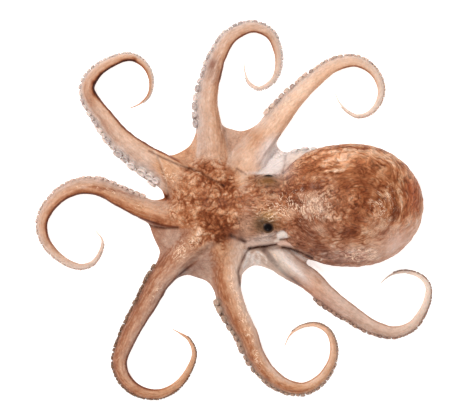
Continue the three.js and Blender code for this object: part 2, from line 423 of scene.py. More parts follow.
def ellipse_gap(u, v, half_u, half_v):
    """About how far a point is outside an ellipse with the given half axes."""
    reach = np.sqrt((u / half_u) ** 2 + (v / half_v) ** 2)
    return outside(reach, np.sqrt((u / half_u**2) ** 2 + (v / half_v**2) ** 2))


def section(width, height):
    """The half axes of an arm's section before it leans, so that it is width wide when it does."""
    half_v = SECTION_HALF * height
    return np.sqrt((0.5 * width) ** 2 - (ARM_LEAN * half_v) ** 2), half_v


def arms_field(whole):
    """Takes each arm in turn into the whole animal's field."""
    for arm in ARMS.values():
        stop = int(np.argmax(arm["width"] < FIELD_TIP_WIDTH)) or len(arm["line"])
        low = np.append(arm["line"].min(0) - ARM_MARGIN, GRID_LOW[2])
        high = np.append(arm["line"].max(0) + ARM_MARGIN, ARM_TOP)
        where, (x, y, z) = window(low, high)
        x, y = [c.ravel() for c in np.broadcast_arrays(x[:, :, 0], y[:, :, 0])]
        nearest, gap = nearest_on(arm, x, y, stop)
        close = gap < arm["width"][nearest] * 0.5 + ARM_BLEND + BAND
        nearest = nearest[close]
        offset, along = side_of(arm, nearest, x[close], y[close])
        height = arm["height"][nearest][:, None]
        half_u, half_v = section(arm["width"][nearest][:, None], height)
        rise = z[0] - SECTION_MIDDLE * height
        sideways = np.hypot(offset[:, None] + ARM_LEAN * rise, along[:, None])
        rows = ellipse_gap(sideways, rise, half_u, half_v)
        block = whole[where].reshape(-1, z.shape[2])
        block[close] = np.minimum(block[close], rows)
        whole[where] = block.reshape(whole[where].shape)


def web_reach(bearing):
    """How far the web reaches from the crown's centre at bearings in degrees."""
    reach = np.zeros_like(bearing)
    count = len(WEB_ARMS)
    for i in range(count):
        start, start_reach = WEB_ARMS[i]
        stop, stop_reach = WEB_ARMS[(i + 1) % count]
        bay, bay_reach = WEB_BAYS[i]
        along = (bearing - start) % 360
        span = (stop - start) % 360
        middle = (bay - start) % 360
        before = along < middle
        share = np.where(before, 1 - along / middle, (along - middle) / (span - middle))
        top = np.where(before, start_reach, stop_reach)
        here = mix(bay_reach, top, np.clip(share, 0, 1) ** WEB_SWEEP)
        reach = np.where(along <= span, here, reach)
    return reach


def from_crown(x, y):
    """How far points in plan are from the crown's centre, and their bearings in degrees."""
    dx, dy = x - CROWN_CENTRE[0], y - CROWN_CENTRE[1]
    return np.hypot(dx, dy), np.degrees(np.arctan2(dy, dx))


def crown_field(x, y, z):
    """The distance to the crown's dome and the web that runs out from it."""
    away, bearing = from_crown(x, y)
    reach = web_reach(bearing)
    dome = np.clip(1 - (away / CROWN_REACH) ** CROWN_ROUND, 0, 1) ** CROWN_FALL
    edge = 1 - np.clip(away / reach, 0, 1) ** WEB_EDGE_ROUND
    rise = mix(WEB_THICKNESS, CROWN_HEIGHT, dome * edge)
    return soft_max((z - rise) * CROWN_SLOPE, (away - reach) * CROWN_SLOPE, EDGE_BLEND)


def head_field(x, y, z):
    parts = [(c - m) / h for c, m, h in zip((x, y, z), HEAD_CENTRE, HEAD_HALF)]
    reach = np.sqrt(parts[0] ** 2 + parts[1] ** 2 + parts[2] ** 2)
    return outside(reach, np.sqrt(sum((p / h) ** 2 for p, h in zip(parts, HEAD_HALF))))


def mantle_field(x, y, z):
    u = x - MANTLE_CENTRE[0]
    half_u = np.where(u > 0, MANTLE_TAIL_REACH, MANTLE_NECK_REACH)
    power = np.where(u > 0, MANTLE_TAIL_POWER, MANTLE_NECK_POWER)
    v = (y - MANTLE_CENTRE[1]) / MANTLE_HALF_WIDTH
    w = z - MANTLE_CENTRE[2]
    half_w = np.where(w > 0, MANTLE_ABOVE, MANTLE_BELOW)
    ends = np.abs(u) / half_u
    reach = np.sqrt(ends**power + v**2 + (w / half_w) ** 2)
    slope_u = 0.5 * power * ends ** (power - 1) / half_u
    return outside(reach, np.sqrt(slope_u**2 + (v / MANTLE_HALF_WIDTH) ** 2 + (w / half_w**2) ** 2))


def ball_field(x, y, z, middle, radius):
    gap = np.sqrt((x - middle[0]) ** 2 + (y - middle[1]) ** 2 + (z - middle[2]) ** 2)
    return gap - radius


def roll_field(x, y, z, roll):
    """The distance to a round roll of skin along a line of straight stretches."""
    best = FAR
    for a, b in zip(roll["line"], roll["line"][1:]):
        step = [q - p for p, q in zip(a, b)]
        t = sum((c - p) * s for c, p, s in zip((x, y, z), a, step)) / sum(s * s for s in step)
        t = np.clip(t, 0, 1)
        gap = sum((c - p - t * s) ** 2 for c, p, s in zip((x, y, z), a, step))
        best = np.minimum(best, np.sqrt(gap))
    return best - roll["radius"]


def eye_point(eye, out):
    """The point at a distance from the middle of an eye's bulge, on the way that it looks."""
    return Vector(eye["middle"]) + Vector(eye["looks"]).normalized() * out


def top_field(x, y, z):
    """The head and mantle with the eyes' bulges and sockets and the rolls of skin."""
    top = soft_min(head_field(x, y, z), mantle_field(x, y, z), HEAD_BLEND)
    for eye in EYES.values():
        top = soft_min(top, ball_field(x, y, z, eye["middle"], EYE_RADIUS), EYE_BLEND)
        socket = ball_field(x, y, z, eye_point(eye, EYE_RADIUS + SOCKET_OUT), SOCKET_RADIUS)
        top = soft_max(top, -socket, SOCKET_BLEND)
    for roll in ROLLS.values():
        top = soft_min(top, roll_field(x, y, z, roll), ROLL_BLEND)
    return top


def body_field():
    """The whole animal's field: negative inside, in millimetres near the surface."""
    skirt = np.full(SHAPE, FAR, np.float32)
    arms_field(skirt)
    where, (x, y, z) = window(*CROWN_BOX)
    skirt[where] = soft_min(skirt[where], crown_field(x, y, z), ARM_BLEND)
    skirt[where] = soft_min(skirt[where], roll_field(x, y, z, ARMPIT), ARMPIT_BLEND)

    where, (x, y, z) = window(*TOP_BOX)
    top = top_field(x, y, z)
    blend = mix(SHARP_BLEND, BODY_BLEND, 1 - ramp(x, *SOFT_JOIN))
    skirt[where] = soft_min(skirt[where], top, blend)

    x, y, z = window(GRID_LOW, GRID_HIGH)[1]
    middle = (*CROWN_CENTRE, MOUTH_DEPTH - MOUTH_RADIUS)
    pit = ball_field(x, y, z, middle, MOUTH_RADIUS)
    skirt = soft_max(skirt, -pit, EDGE_BLEND)
    return soft_max(skirt, UNDERSIDE - z, UNDERSIDE_BLEND)


# Meshes

def mesh_of(name, points, faces, smooth=True):
    """A mesh piece from points in millimetres and a list of equal-sided faces."""
    mesh = bpy.data.meshes.new(name)
    faces = np.asarray(faces, np.int32)
    sides = faces.shape[1]
    mesh.vertices.add(len(points))
    mesh.vertices.foreach_set("co", (np.asarray(points, np.float32) * MM).ravel())
    mesh.loops.add(faces.size)
    mesh.loops.foreach_set("vertex_index", faces.ravel())
    mesh.polygons.add(len(faces))
    mesh.polygons.foreach_set("loop_start", np.arange(0, faces.size, sides, dtype=np.int32))
    mesh.update(calc_edges=True)
    mesh.validate()
    mesh.polygons.foreach_set("use_smooth", np.full(len(mesh.polygons), smooth))
    piece = bpy.data.objects.new(name, mesh)
    bpy.context.scene.collection.objects.link(piece)
    return piece


def ring(radius, height, sides):
    """Points evenly round a circle about the Z axis."""
    angles = np.arange(sides) * 2 * math.pi / sides
    return np.stack([radius * np.cos(angles), radius * np.sin(angles), np.full(sides, height)], axis=1)


def closed_tube(rings, low, top):
    """The points and faces of a tube through rings of points, closed by the points low and top."""
    rings = np.array(rings)
    count, sides = rings.shape[:2]
    last = (count - 1) * sides
    faces = []
    for first in range(0, last, sides):
        for k in range(sides):
            a, b = first + k, first + (k + 1) % sides
            faces.append((a, b, b + sides, a + sides))
    for k in range(0, sides, 2):
        after = (k + 2) % sides
        faces.append((last + sides, after, k + 1, k))
        faces.append((last + sides + 1, last + k, last + k + 1, last + after))
    return np.vstack([rings.reshape(-1, 3), low, top]), np.array(faces)


def joined(parts):
    """The points and faces of several meshes, as those of one."""
    starts = np.cumsum([0] + [len(points) for points, _ in parts])
    faces = [faces + start for (_, faces), start in zip(parts, starts)]
    return np.vstack([points for points, _ in parts]), np.vstack(faces)


def vectors_of(items, key):
    """Blender's vectors, such as vertex places or normals, as an array."""
    values = np.zeros(len(items) * 3, np.float32)
    items.foreach_get(key, values)
    return values.reshape(-1, 3)


def skin_mesh():
    """The points, in millimetres, and quads of the surface where the field is 0."""
    field = np.clip(body_field(), -BAND, BAND)
    grid = openvdb.FloatGrid(BAND)
    grid.copyFromArray(field)
    points, _, quads = grid.convertToPolygons(0.0, 0.0)
    return points * STEP + GRID_LOW, quads


# Places on the skin

def lines(points, size, width, seed):
    """Thin wandering lines, 1 on a line and 0 away from it, about as far apart as size."""
    return np.clip(1 - np.abs(noise(points, size, seed)) / width, 0, 1)


def net(points, size, seed):
    """Uneven lumps about as large as size in a net of hollows: 0 on a lump, 1 in the net."""
    table = np.random.RandomState(seed).uniform(size=(TABLE_ROWS, 3))
    where = points / size
    cell = np.floor(where).astype(np.int64)
    near = np.full(len(points), 9.0)
    for corner in itertools.product((-1, 0, 1), repeat=3):
        at = cell + corner
        near = np.minimum(near, np.linalg.norm(at + table[pick(at)] - where, axis=1))
    return ramp(near, 0.3, 0.85)


def mottle(points, size, seed):
    """Uneven patches with smaller ones on them, from about -1 to 1."""
    layers = ((1.0, 0.55), (0.5, 0.4), (0.25, 0.25))
    parts = [share * noise(points, size * scale, seed + i) for i, (scale, share) in enumerate(layers)]
    return sum(parts)


class Skin:
    """What points on the skin lie on: an arm's station and side, the web, crown, head or mantle."""

    def __init__(self, points):
        self.points = points
        x, y, z = points.T
        count = len(points)
        self.arm = np.zeros(count, int)
        self.share = np.ones(count)
        self.offset = np.zeros(count)
        self.width = np.full(count, TIP_WIDTH)
        best = np.full(count, FAR)
        for number, arm in enumerate(ARMS.values()):
            low, high = arm["line"].min(0) - SKIN_MARGIN, arm["line"].max(0) + SKIN_MARGIN
            beside = (x > low[0]) & (x < high[0]) & (y > low[1]) & (y < high[1])
            near = np.flatnonzero(beside & (z < ARM_TOP))
            nearest, gap = nearest_on(arm, x[near], y[near], len(arm["line"]))
            away = gap - arm["width"][nearest] * 0.5
            better = away < best[near]
            near, nearest = near[better], nearest[better]
            best[near] = away[better]
            self.arm[near] = number
            self.offset[near] = side_of(arm, nearest, x[near], y[near])[0]
            self.share[near] = arm["share"][nearest]
            self.width[near] = arm["width"][nearest]
        self.side = self.offset / (self.width * 0.5)
        # How much of each point is mantle, head, crown, arm and web: shares that add up to 1.
        on_top = ramp(-np.abs(top_field(x, y, z)), -2.6, -1.0)
        behind = ramp(head_field(x, y, z) - mantle_field(x, y, z), -2.5, 2.5) * ramp(x, 30, 40)
        self.mantle = on_top * behind
        self.head = on_top * (1 - behind) * ramp(x, 0, 16)
        left = 1 - self.mantle - self.head
        self.away, self.bearing = from_crown(x, y)
        edge = np.interp(self.bearing, *zip(*CROWN_EDGE), period=360)
        edge = edge + 5 * noise(points, 9.0, 37)
        self.crown = (1 - ramp(self.away, edge - 12, edge + 7)) * left
        left = left - self.crown
        on_arm = ramp(-best, -1.5, 1.0)
        self.arms = on_arm * left
        self.web = (1 - on_arm) * left
        self.pads()
        self.wrinkle()

    def per_arm(self, values):
        """For each point, the one of the arms' values that belongs to the arm it is on."""
        return np.array(list(values))[self.arm]

    def dress(self, key):
        return self.per_arm(arm["dress"][key] for arm in ARMS.values())

    def pads(self):
        """For each point: how near a sucker is, how much painted shade it gets in the groove round it, and
        the sucker's size.
        """
        self.pad, self.crevice, self.cup = np.zeros((3, len(self.points)))
        for number, arm in enumerate(ARMS.values()):
            sizes = np.array([size for size, *_ in arm["cups"]])
            places = np.array([tuple(place) for _, place, *_ in arm["cups"]])
            mine = np.flatnonzero((self.arm == number) & (self.side > -0.1) & (self.side < 1.5))
            for first in range(0, len(mine), CHUNK):
                rows = mine[first:first + CHUNK]
                gap = np.linalg.norm(self.points[rows, None] - places, axis=2) / sizes
                nearest = np.argmin(gap, axis=1)
                gap = gap[np.arange(len(rows)), nearest]
                self.pad[rows] = np.exp(-((gap / PAD_REACH) ** 2))
                self.crevice[rows] = ramp(gap, 0.8, 1.1) * (1 - ramp(gap, 1.2, 1.9))
                self.cup[rows] = sizes[nearest]

    def wrinkle(self):
        """The mottling and fine creases that both the skin's relief and its colour follow. The colour is
        darker along the grooves, partly pigment and partly painted shade, and lighter on the mantle's
        crests as a painted sheen.
        """
        x, y, z = self.points.T
        bend = np.stack([noise(self.points, 7.0, seed) for seed in (27, 28, 29)], axis=1) * 2.6
        bent = self.points + bend
        # A frame that runs along the mantle and round its tail: noise drawn out in it is wrinkles.
        beyond = np.maximum(x - TAIL_TURN[0], 0)
        beside = np.abs(y - TAIL_TURN[1])
        around = np.minimum(x, TAIL_TURN[0]) + TAIL_ARC * np.arctan2(beyond, beside + 0.01)
        across = np.hypot(beyond, beside) + 6 * noise(self.points, 19.0, 26)
        flow = np.stack([around, across, 0.6 * y + z], axis=1) + bend * 0.7
        calm = 1 - ramp(np.hypot(x - TAIL_TURN[0], 1.4 * beside), *CALM)
        patchy = np.clip(0.6 + 1.2 * noise(self.points, 13.0, 30), 0, 1.3)
        folds = mix(noise(flow, (12.0, 2.6, 6.0), 32), noise(bent, (5.0, 4.0, 5.0), 33), calm)
        fine = net(bent, 2.6, 34)
        self.mantle_lines = np.clip(1 - np.abs(folds) / 0.34, 0, 1) * 0.8 * patchy + fine * 0.2
        self.crest_sheen = ramp(np.abs(folds), 0.42, 0.8) * (1.3 - patchy)
        streaky = mix(mottle(flow / np.array((1.8, 1.0, 1.5)), 8.0, 42), mottle(bent, 9.0, 43), calm)
        self.mantle_mottle = 0.45 * np.tanh(1.2 * noise(self.points, 17.0, 31) + 1.2 * streaky)
        self.rough = 1 - sum(amount * spot(x, y, *place) for *place, amount in SMOOTH_PLACES)
        self.head_lines = lines(flow, (14.0, 2.0, 5.0), 0.4, 35) * 0.8 + fine * 0.2
        veins = lines(bent, 5.6, 0.34, 36) * (0.3 + 0.8 * patchy)
        self.crown_lines = veins + net(bent, 3.1, 40) * 0.45 + fine * 0.2 - 0.3
        # The grain that the material's finest noise follows, drawn out along each form.
        run = self.share * self.per_arm(arm["length"] for arm in ARMS.values())
        along = np.stack([run, self.offset, z], axis=1) + self.arm[:, None] * 31.7
        on_arm = (self.arms > 0.5)[:, None]
        on_top = (self.mantle + self.head > 0.5)[:, None]
        self.grain = np.where(on_arm, along / np.array((2.2, 1.0, 1.0)), self.points)
        on_mantle = mix(flow / np.array((2.0, 1.0, 1.0)), self.points, calm[:, None])
        self.grain = np.where(on_top, on_mantle, self.grain)
        long_lines, short_lines = lines(along, (16.0, 2.4, 3.0), 0.4, 38), lines(along, 2.4, 0.4, 39)
        self.arm_lines = long_lines * 0.7 + short_lines * 0.35


def line_gap(x, y, line):
    """The distance in plan from points to a line of straight stretches."""
    best = np.full(len(x), FAR)
    for (ax, ay), (bx, by) in zip(line, line[1:]):
        dx, dy = bx - ax, by - ay
        t = np.clip(((x - ax) * dx + (y - ay) * dy) / (dx * dx + dy * dy), 0, 1)
        best = np.minimum(best, np.hypot(x - ax - t * dx, y - ay - t * dy))
    return best


def relief(skin, up):
    """How far each point of the skin moves outwards: lines, lumps, grain, pads and creases."""
    x, y, _ = skin.points.T
    grain = noise(skin.points, 2.4, 13)
    lumps = noise(skin.points, 7.0, 14)
    thick = np.clip(skin.width / FULL_RELIEF_WIDTH, 0.05, 1)
    forms = {
        "mantle": (skin.mantle, skin.mantle_lines), "head": (skin.head, skin.head_lines),
        "crown": (skin.crown, skin.crown_lines), "arms": (skin.arms * thick, skin.arm_lines),
        "web": (skin.web, 0.0),
    }
    move = PAD_RISE * skin.pad * skin.cup - MOTTLE_DEPTH * skin.mantle * skin.mantle_mottle
    for name, (form, lines_here) in forms.items():
        line_depth, lump_rise, grain_rise = RELIEF[name]
        move += form * (lump_rise * lumps + grain_rise * grain - line_depth * lines_here)
    for depth, width, _, line in CREASES.values():
        move -= up * depth * np.exp(-((line_gap(x, y, line) / width) ** 2))
    return move


# Colours

def linear(*shades):
    """A colour of 0 to 255 for each channel, as it looks on a screen, in linear light."""
    c = np.array(shades, float) / 255
    return np.where(c <= 0.04045, c / 12.92, ((c + 0.055) / 1.055) ** 2.4)


# The skin's tones from bare flesh to dark pigment, once greyish and once orange-brown.
TONE_STOPS = (0.0, 0.2, 0.4, 0.6, 0.8, 1.0)
COOL_TONES = np.array([
    linear(225, 212, 206), linear(201, 176, 163), linear(173, 141, 125), linear(141, 99, 82),
    linear(101, 58, 42), linear(54, 24, 16),
])
WARM_TONES = np.array([
    linear(232, 207, 186), linear(219, 179, 152), linear(196, 145, 110), linear(159, 97, 61),
    linear(116, 56, 28), linear(66, 25, 11),
])
# The colours of single places.
LILAC = linear(230, 218, 214)
FOLD = linear(201, 175, 163)
OLIVE = linear(126, 84, 50)
DARK_OLIVE = linear(82, 54, 34)
GOLD = linear(196, 152, 98)
CREAM = linear(240, 220, 196)
# GLINT is the colour of the painted glints, pale flecks of painted highlight on wet skin.
GLINT = linear(241, 206, 178)
VIOLET = linear(126, 110, 112)
GREY = linear(204, 190, 178)
PINK_GREY = linear(176, 136, 112)
RUST = linear(168, 88, 58)
PINK = linear(216, 160, 141)
ORANGE = linear(228, 152, 108)
# What is left of each channel at the bottom of a crease, where it is painted darker: partly pigment,
# partly painted shade.
CREASE_SHADE_AND_PIGMENT = np.array((0.13, 0.055, 0.035))
# The tone and warmth of each form before its marks, and of the animal's underside.
MANTLE_LOOK = (0.61, 0.9)
HEAD_LOOK = (0.42, 0.85)
CROWN_LOOK = (0.48, 0.9)
BELOW_LOOK = (0.14, 0.35)
# How much darker the mantle is where its side turns down, and the tone of an arm's inner edge, partly
# pigment and partly painted shade.
RIM_TONE = 0.15
EDGE_PIGMENT_AND_SHADE_TONE = 0.92
# How steeply a spot fades out.
SPOT_FALL = 0.8
# How much each form shines and how strong its finest specks are.
SHINE = {"mantle": 0.09, "head": 0.09, "crown": 0.03, "web": 0.1}
SPECKLE = {"mantle": 0.65, "head": 0.6, "crown": 0.6, "web": 0.3, "arms": 0.2}


def spot(x, y, middle_x, middle_y, half_x, half_y, turn):
    """1 in the middle of an oval in plan, and 0 well outside it."""
    cos, sin = math.cos(math.radians(turn)), math.sin(math.radians(turn))
    u = ((x - middle_x) * cos + (y - middle_y) * sin) / half_x
    v = ((y - middle_y) * cos - (x - middle_x) * sin) / half_y
    return np.exp(-SPOT_FALL * (u * u + v * v))


def arm_paint(skin):
    """Tone and warmth on the arms, by the zones across them, with a dark inner edge that is partly pigment
    and partly painted shade.
    """
    tone, warm = np.zeros(len(skin.points)), np.zeros(len(skin.points))
    ragged = noise(skin.points, 5.0, 41) * 0.2
    for number, arm in enumerate(ARMS.values()):
        mine = skin.arm == number
        dress = arm["dress"]
        share, side = skin.share[mine], skin.side[mine]
        zone = side + ragged[mine]
        far = ramp(share, 0.45, 0.8)
        near_tone, far_tone, near_warmth = [
            np.interp(zone, ZONES, dress[key]) for key in ("near", "far", "warmth")
        ]
        plain = mix(near_tone, far_tone, far)
        inner = (side + 1) * skin.width[mine] * 0.5
        start, stop, reach = dress["edge_span"]
        edge = dress["edge"] * (1 - ramp(inner, 0.35 * reach, reach))
        edge = edge * ramp(share, start, start + 0.06) * (1 - ramp(share, stop - 0.1, stop + 0.05))
        fleck = (0.4 * skin.arm_lines[mine] - 0.1) * plain
        pale = 1 - dress["tip_pale"] * ramp(share, 0.6, 0.88)
        tone[mine] = mix(plain + fleck, EDGE_PIGMENT_AND_SHADE_TONE, edge) * pale
        warm[mine] = mix(near_warmth, dress["tip_warmth"], far)
    return tone, warm


def sucker_tint(skin):
    """The colour of the pads of skin around the suckers: each arm's own, dusky in places, with painted
    shade in the groove round each sucker.
    """
    own = skin.per_arm(linear(*arm["dress"]["sucker"]) for arm in ARMS.values())
    violet = dusk(skin.points, skin.share) * skin.dress("dusk")
    return mix(own, VIOLET, violet[:, None]) * (1 - 0.4 * skin.crevice[:, None])


def dusk(points, share):
    """How much of the suckers' colour turns to dull violet: up to 1 in places, 0 near the tip."""
    return np.clip(noise(points, 5.0, 51) * 2.2 + 0.2, 0, 1) * (1 - ramp(share, 0.62, 0.8))


def glint_density(skin, up):
    """How dense the painted glints are, from 0 to 1: pale flecks that stand in for light off wet skin."""
    x, y, _ = skin.points.T
    places = sum(amount * spot(x, y, *place) for *place, amount in GLINT_PLACES)
    places = places + 0.3 * skin.arms * np.exp(-(((skin.side - RIDGE) / 0.3) ** 2))
    return np.clip(places * up * (0.7 + 0.9 * noise(skin.points, 5.0, 53)), 0, 1)


def base_look(skin, blot, warp):
    """Tone and warmth of the skin before its blotches and strokes."""
    x = skin.points[:, 0]
    tone, warm = [skin.arms * part for part in arm_paint(skin)]
    # The mantle is darker along the grooves of its relief and lighter on its crests: partly pigment, with
    # painted shade in the grooves and a painted sheen on the crests.
    marks = 0.42 * skin.mantle_lines - 0.22 * skin.crest_sheen - 0.08
    patches = 0.46 * skin.mantle_mottle * mix(1.0, skin.rough, 0.5)
    tone += skin.mantle * (MANTLE_LOOK[0] + patches + marks * skin.rough)
    warm += skin.mantle * MANTLE_LOOK[1]
    tone += skin.head * (HEAD_LOOK[0] + 0.14 * blot + 0.36 * skin.head_lines)
    warm += skin.head * HEAD_LOOK[1]
    patches = 0.34 * mottle(skin.points + warp[:, None], 8.0, 45)
    marks = (0.28 + 0.14 * ramp(x, -50, -10)) * skin.crown_lines * skin.crown
    tone += skin.crown * (CROWN_LOOK[0] + patches + marks)
    warm += skin.crown * (CROWN_LOOK[1] - 0.3 * ramp(skin.away, 34, 60))
    bearings, tones, warmths = zip(*WEB_LOOKS)
    patches = 1 + 0.35 * mottle(skin.points, 7.0, 48)
    tone += skin.web * np.interp(skin.bearing, bearings, tones, period=360) * patches
    warm += skin.web * np.interp(skin.bearing, bearings, warmths, period=360)
    return tone, warm


def tone_colour(tone, warm):
    """The skin's colours for tones and warmths from 0 to 1."""
    cool_colour, warm_colour = [
        np.stack([np.interp(tone, TONE_STOPS, tones[:, i]) for i in range(3)], axis=1)
        for tones in (COOL_TONES, WARM_TONES)
    ]
    return mix(cool_colour, warm_colour, warm[:, None])


def paint(skin, up):
    """The skin's colour at each point. Blot and warp make the marks' strengths and edges uneven."""
    x, y, z = skin.points.T
    blot = noise(skin.points, 9.0, 21) * 0.5 + noise(skin.points, 4.6, 22) * 0.5
    warp = noise(skin.points, 5.0, 23) * 1.6
    tone, warm = base_look(skin, blot, warp)
    for *place, darker, warmer in BLOTCHES:
        share = spot(x + warp, y - warp, *place) * np.clip(1 + 0.5 * blot, 0, 2) * up
        tone += darker * share
        warm += warmer * share
    for width, darker, line in STROKES:
        gap = line_gap(x + warp * 0.7, y - warp * 0.7, line) / width
        tone += darker * np.exp(-gap * gap) * np.clip(0.8 + 0.6 * blot, 0, 1.5) * up
    tone += RIM_TONE * skin.mantle * (1 - up)
    below = ramp(-up, -0.5, 0.5)
    tone = np.clip(mix(tone, BELOW_LOOK[0], below), 0, 1)
    # The darkest marks of the mantle and crown are kept from going black.
    tone = tone - 0.4 * np.clip(tone - 0.7, 0, 1) * (skin.mantle + skin.crown)
    warm = np.clip(mix(warm, BELOW_LOOK[1], below), 0, 1)
    colour = tone_colour(tone, warm)
    colour = mix(colour, sucker_tint(skin), np.clip(skin.pad * 1.1, 0, 0.9)[:, None])
    for *place, tint, amount in TINTS:
        share = np.clip(spot(x + warp * 0.4, y, *place) * amount * 1.3, 0, 1) * up
        colour = mix(colour, tint, share[:, None])
    for roll in ROLLS.values():
        on_roll = 1 - ramp(roll_field(x, y, z, roll), 0.5, 1.1)
        colour = mix(colour, linear(*roll["shade"]), 0.85 * on_roll[:, None])
    # Creases darken the colour along their lines: dark pigment in some, painted shade in the grooves and
    # under overhangs in others, such as collar, under_nub and left_4_root.
    for _, width, dark, line in CREASES.values():
        gap = line_gap(x, y, line) / width
        shade_and_pigment = up * dark * np.exp(-gap * gap) * np.clip(1.2 + 0.7 * blot, 0.5, 1.4)
        colour = colour * mix(1.0, CREASE_SHADE_AND_PIGMENT, np.clip(shade_and_pigment, 0, 1)[:, None])
    return colour


# Where the ridge that catches the light lies across an arm: -1 is its inner edge and 1 its outer.
RIDGE = 0.1
# The zones across an arm, from its inner side to its suckers.
ZONES = (-0.7, -0.1, 0.45, 0.95)
# How each arm is coloured. near and far: the tone in each zone, on the arm's first half and
# towards its tip. warmth: the same for how warm it is, with one value, tip_warmth, towards the
# tip. tip_pale: how much paler the tip is. edge: how dark the inner edge is, partly pigment and
# partly painted shade, and edge_span: the shares of the arm where that starts and stops and its
# width in millimetres. wet: how much of the shine of wet skin the arm has. dusk: how
# dusky its suckers are in places, cup: their size beside other arms' suckers, sucker: their
# colour, cups_from: the share of the arm where they start.
DRESSES = {
    "right_1": {
        "near": (0.28, 0.24, 0.36, 0.14), "far": (0.52, 0.4, 0.26, 0.14),
        "warmth": (0.7, 0.4, 0.25, 0.1), "tip_warmth": 0.7, "tip_pale": 0.1,
        "edge": 0.9, "edge_span": (0.08, 0.84, 2.5), "wet": 0.1, "dusk": 0.4, "cup": 1.0,
        "sucker": (226, 210, 203), "cups_from": 0.15,
    },
    "right_2": {
        "near": (0.4, 0.28, 0.28, 0.22), "far": (0.46, 0.3, 0.24, 0.12),
        "warmth": (0.7, 0.55, 0.3, 0.1), "tip_warmth": 0.5, "tip_pale": 0.7,
        "edge": 0.8, "edge_span": (0.3, 0.76, 2.0), "wet": 0.2, "dusk": 0.5, "cup": 1.0,
        "sucker": (226, 210, 203), "cups_from": 0.2,
    },
    "right_3": {
        "near": (0.28, 0.2, 0.2, 0.14), "far": (0.26, 0.13, 0.14, 0.1),
        "warmth": (1.0, 1.0, 0.6, 0.3), "tip_warmth": 0.6, "tip_pale": 0.75,
        "edge": 0.8, "edge_span": (0.5, 0.72, 1.8), "wet": 0.15, "dusk": 0.5, "cup": 0.9,
        "sucker": (222, 194, 178), "cups_from": 0.24,
    },
    "right_4": {
        "near": (0.4, 0.3, 0.12, 0.08), "far": (0.3, 0.25, 0.2, 0.1),
        "warmth": (0.6, 0.5, 0.3, 0.1), "tip_warmth": 0.6, "tip_pale": 0.6,
        "edge": 0.3, "edge_span": (0.3, 0.9, 2.4), "wet": 0.2, "dusk": 0.0, "cup": 1.0,
        "sucker": (236, 228, 224), "cups_from": 0.15,
    },
    "left_1": {
        "near": (0.58, 0.4, 0.34, 0.26), "far": (0.44, 0.34, 0.28, 0.14),
        "warmth": (0.85, 0.75, 0.35, 0.2), "tip_warmth": 0.4, "tip_pale": 0.55,
        "edge": 1.0, "edge_span": (0.02, 0.72, 2.4), "wet": 0.2, "dusk": 0.15, "cup": 0.85,
        "sucker": (216, 190, 178), "cups_from": 0.2,
    },
    "left_2": {
        "near": (0.44, 0.42, 0.54, 0.63), "far": (0.44, 0.43, 0.54, 0.62),
        "warmth": (0.15, 0.5, 0.6, 0.35), "tip_warmth": 1.0, "tip_pale": 0.35,
        "edge": 0.9, "edge_span": (0.06, 0.74, 2.3), "wet": 0.2, "dusk": 0.25, "cup": 0.65,
        "sucker": (124, 88, 66), "cups_from": 0.2,
    },
    "left_3": {
        "near": (0.23, 0.4, 0.58, 0.5), "far": (0.24, 0.33, 0.45, 0.36),
        "warmth": (0.35, 0.85, 0.9, 0.3), "tip_warmth": 1.0, "tip_pale": 0.45,
        "edge": 0.55, "edge_span": (0.3, 0.88, 1.6), "wet": 0.3, "dusk": 0.2, "cup": 1.0,
        "sucker": (168, 138, 121), "cups_from": 0.2,
    },
    "left_4": {
        "near": (0.2, 0.28, 0.38, 0.34), "far": (0.12, 0.12, 0.18, 0.24),
        "warmth": (0.2, 0.25, 0.15, 0.1), "tip_warmth": 0.6, "tip_pale": 0.85,
        "edge": 0.4, "edge_span": (0.1, 0.66, 1.8), "wet": 0.2, "dusk": 0.4, "cup": 0.85,
        "sucker": (160, 124, 108), "cups_from": 0.33,
    },
}
# How far out the crown's mottling goes, by the bearing from the crown's centre.
CROWN_EDGE = (
    (20, 55), (36, 32), (57, 40), (75, 48), (94, 58), (118, 54), (139, 50), (174, 46), (190, 40),
    (202, 30), (216, 28), (229, 42), (242, 40), (256, 29), (270, 29), (284, 40), (294, 30),
    (303, 22), (325, 26), (340, 55),
)
# The web's looks: a bearing from the crown's centre in degrees, and the tone and warmth there.
WEB_LOOKS = (
    (30, 0.08, 0), (50, 0.08, 0), (75, 0.32, 0.3), (118, 0.42, 0.85), (159, 0.5, 0.8), (200, 0.54, 0.3),
    (225, 0.51, 0.15), (250, 0.5, 0), (272, 0.36, 0.2), (290, 0.18, 0.1), (320, 0.14, 0.05),
)
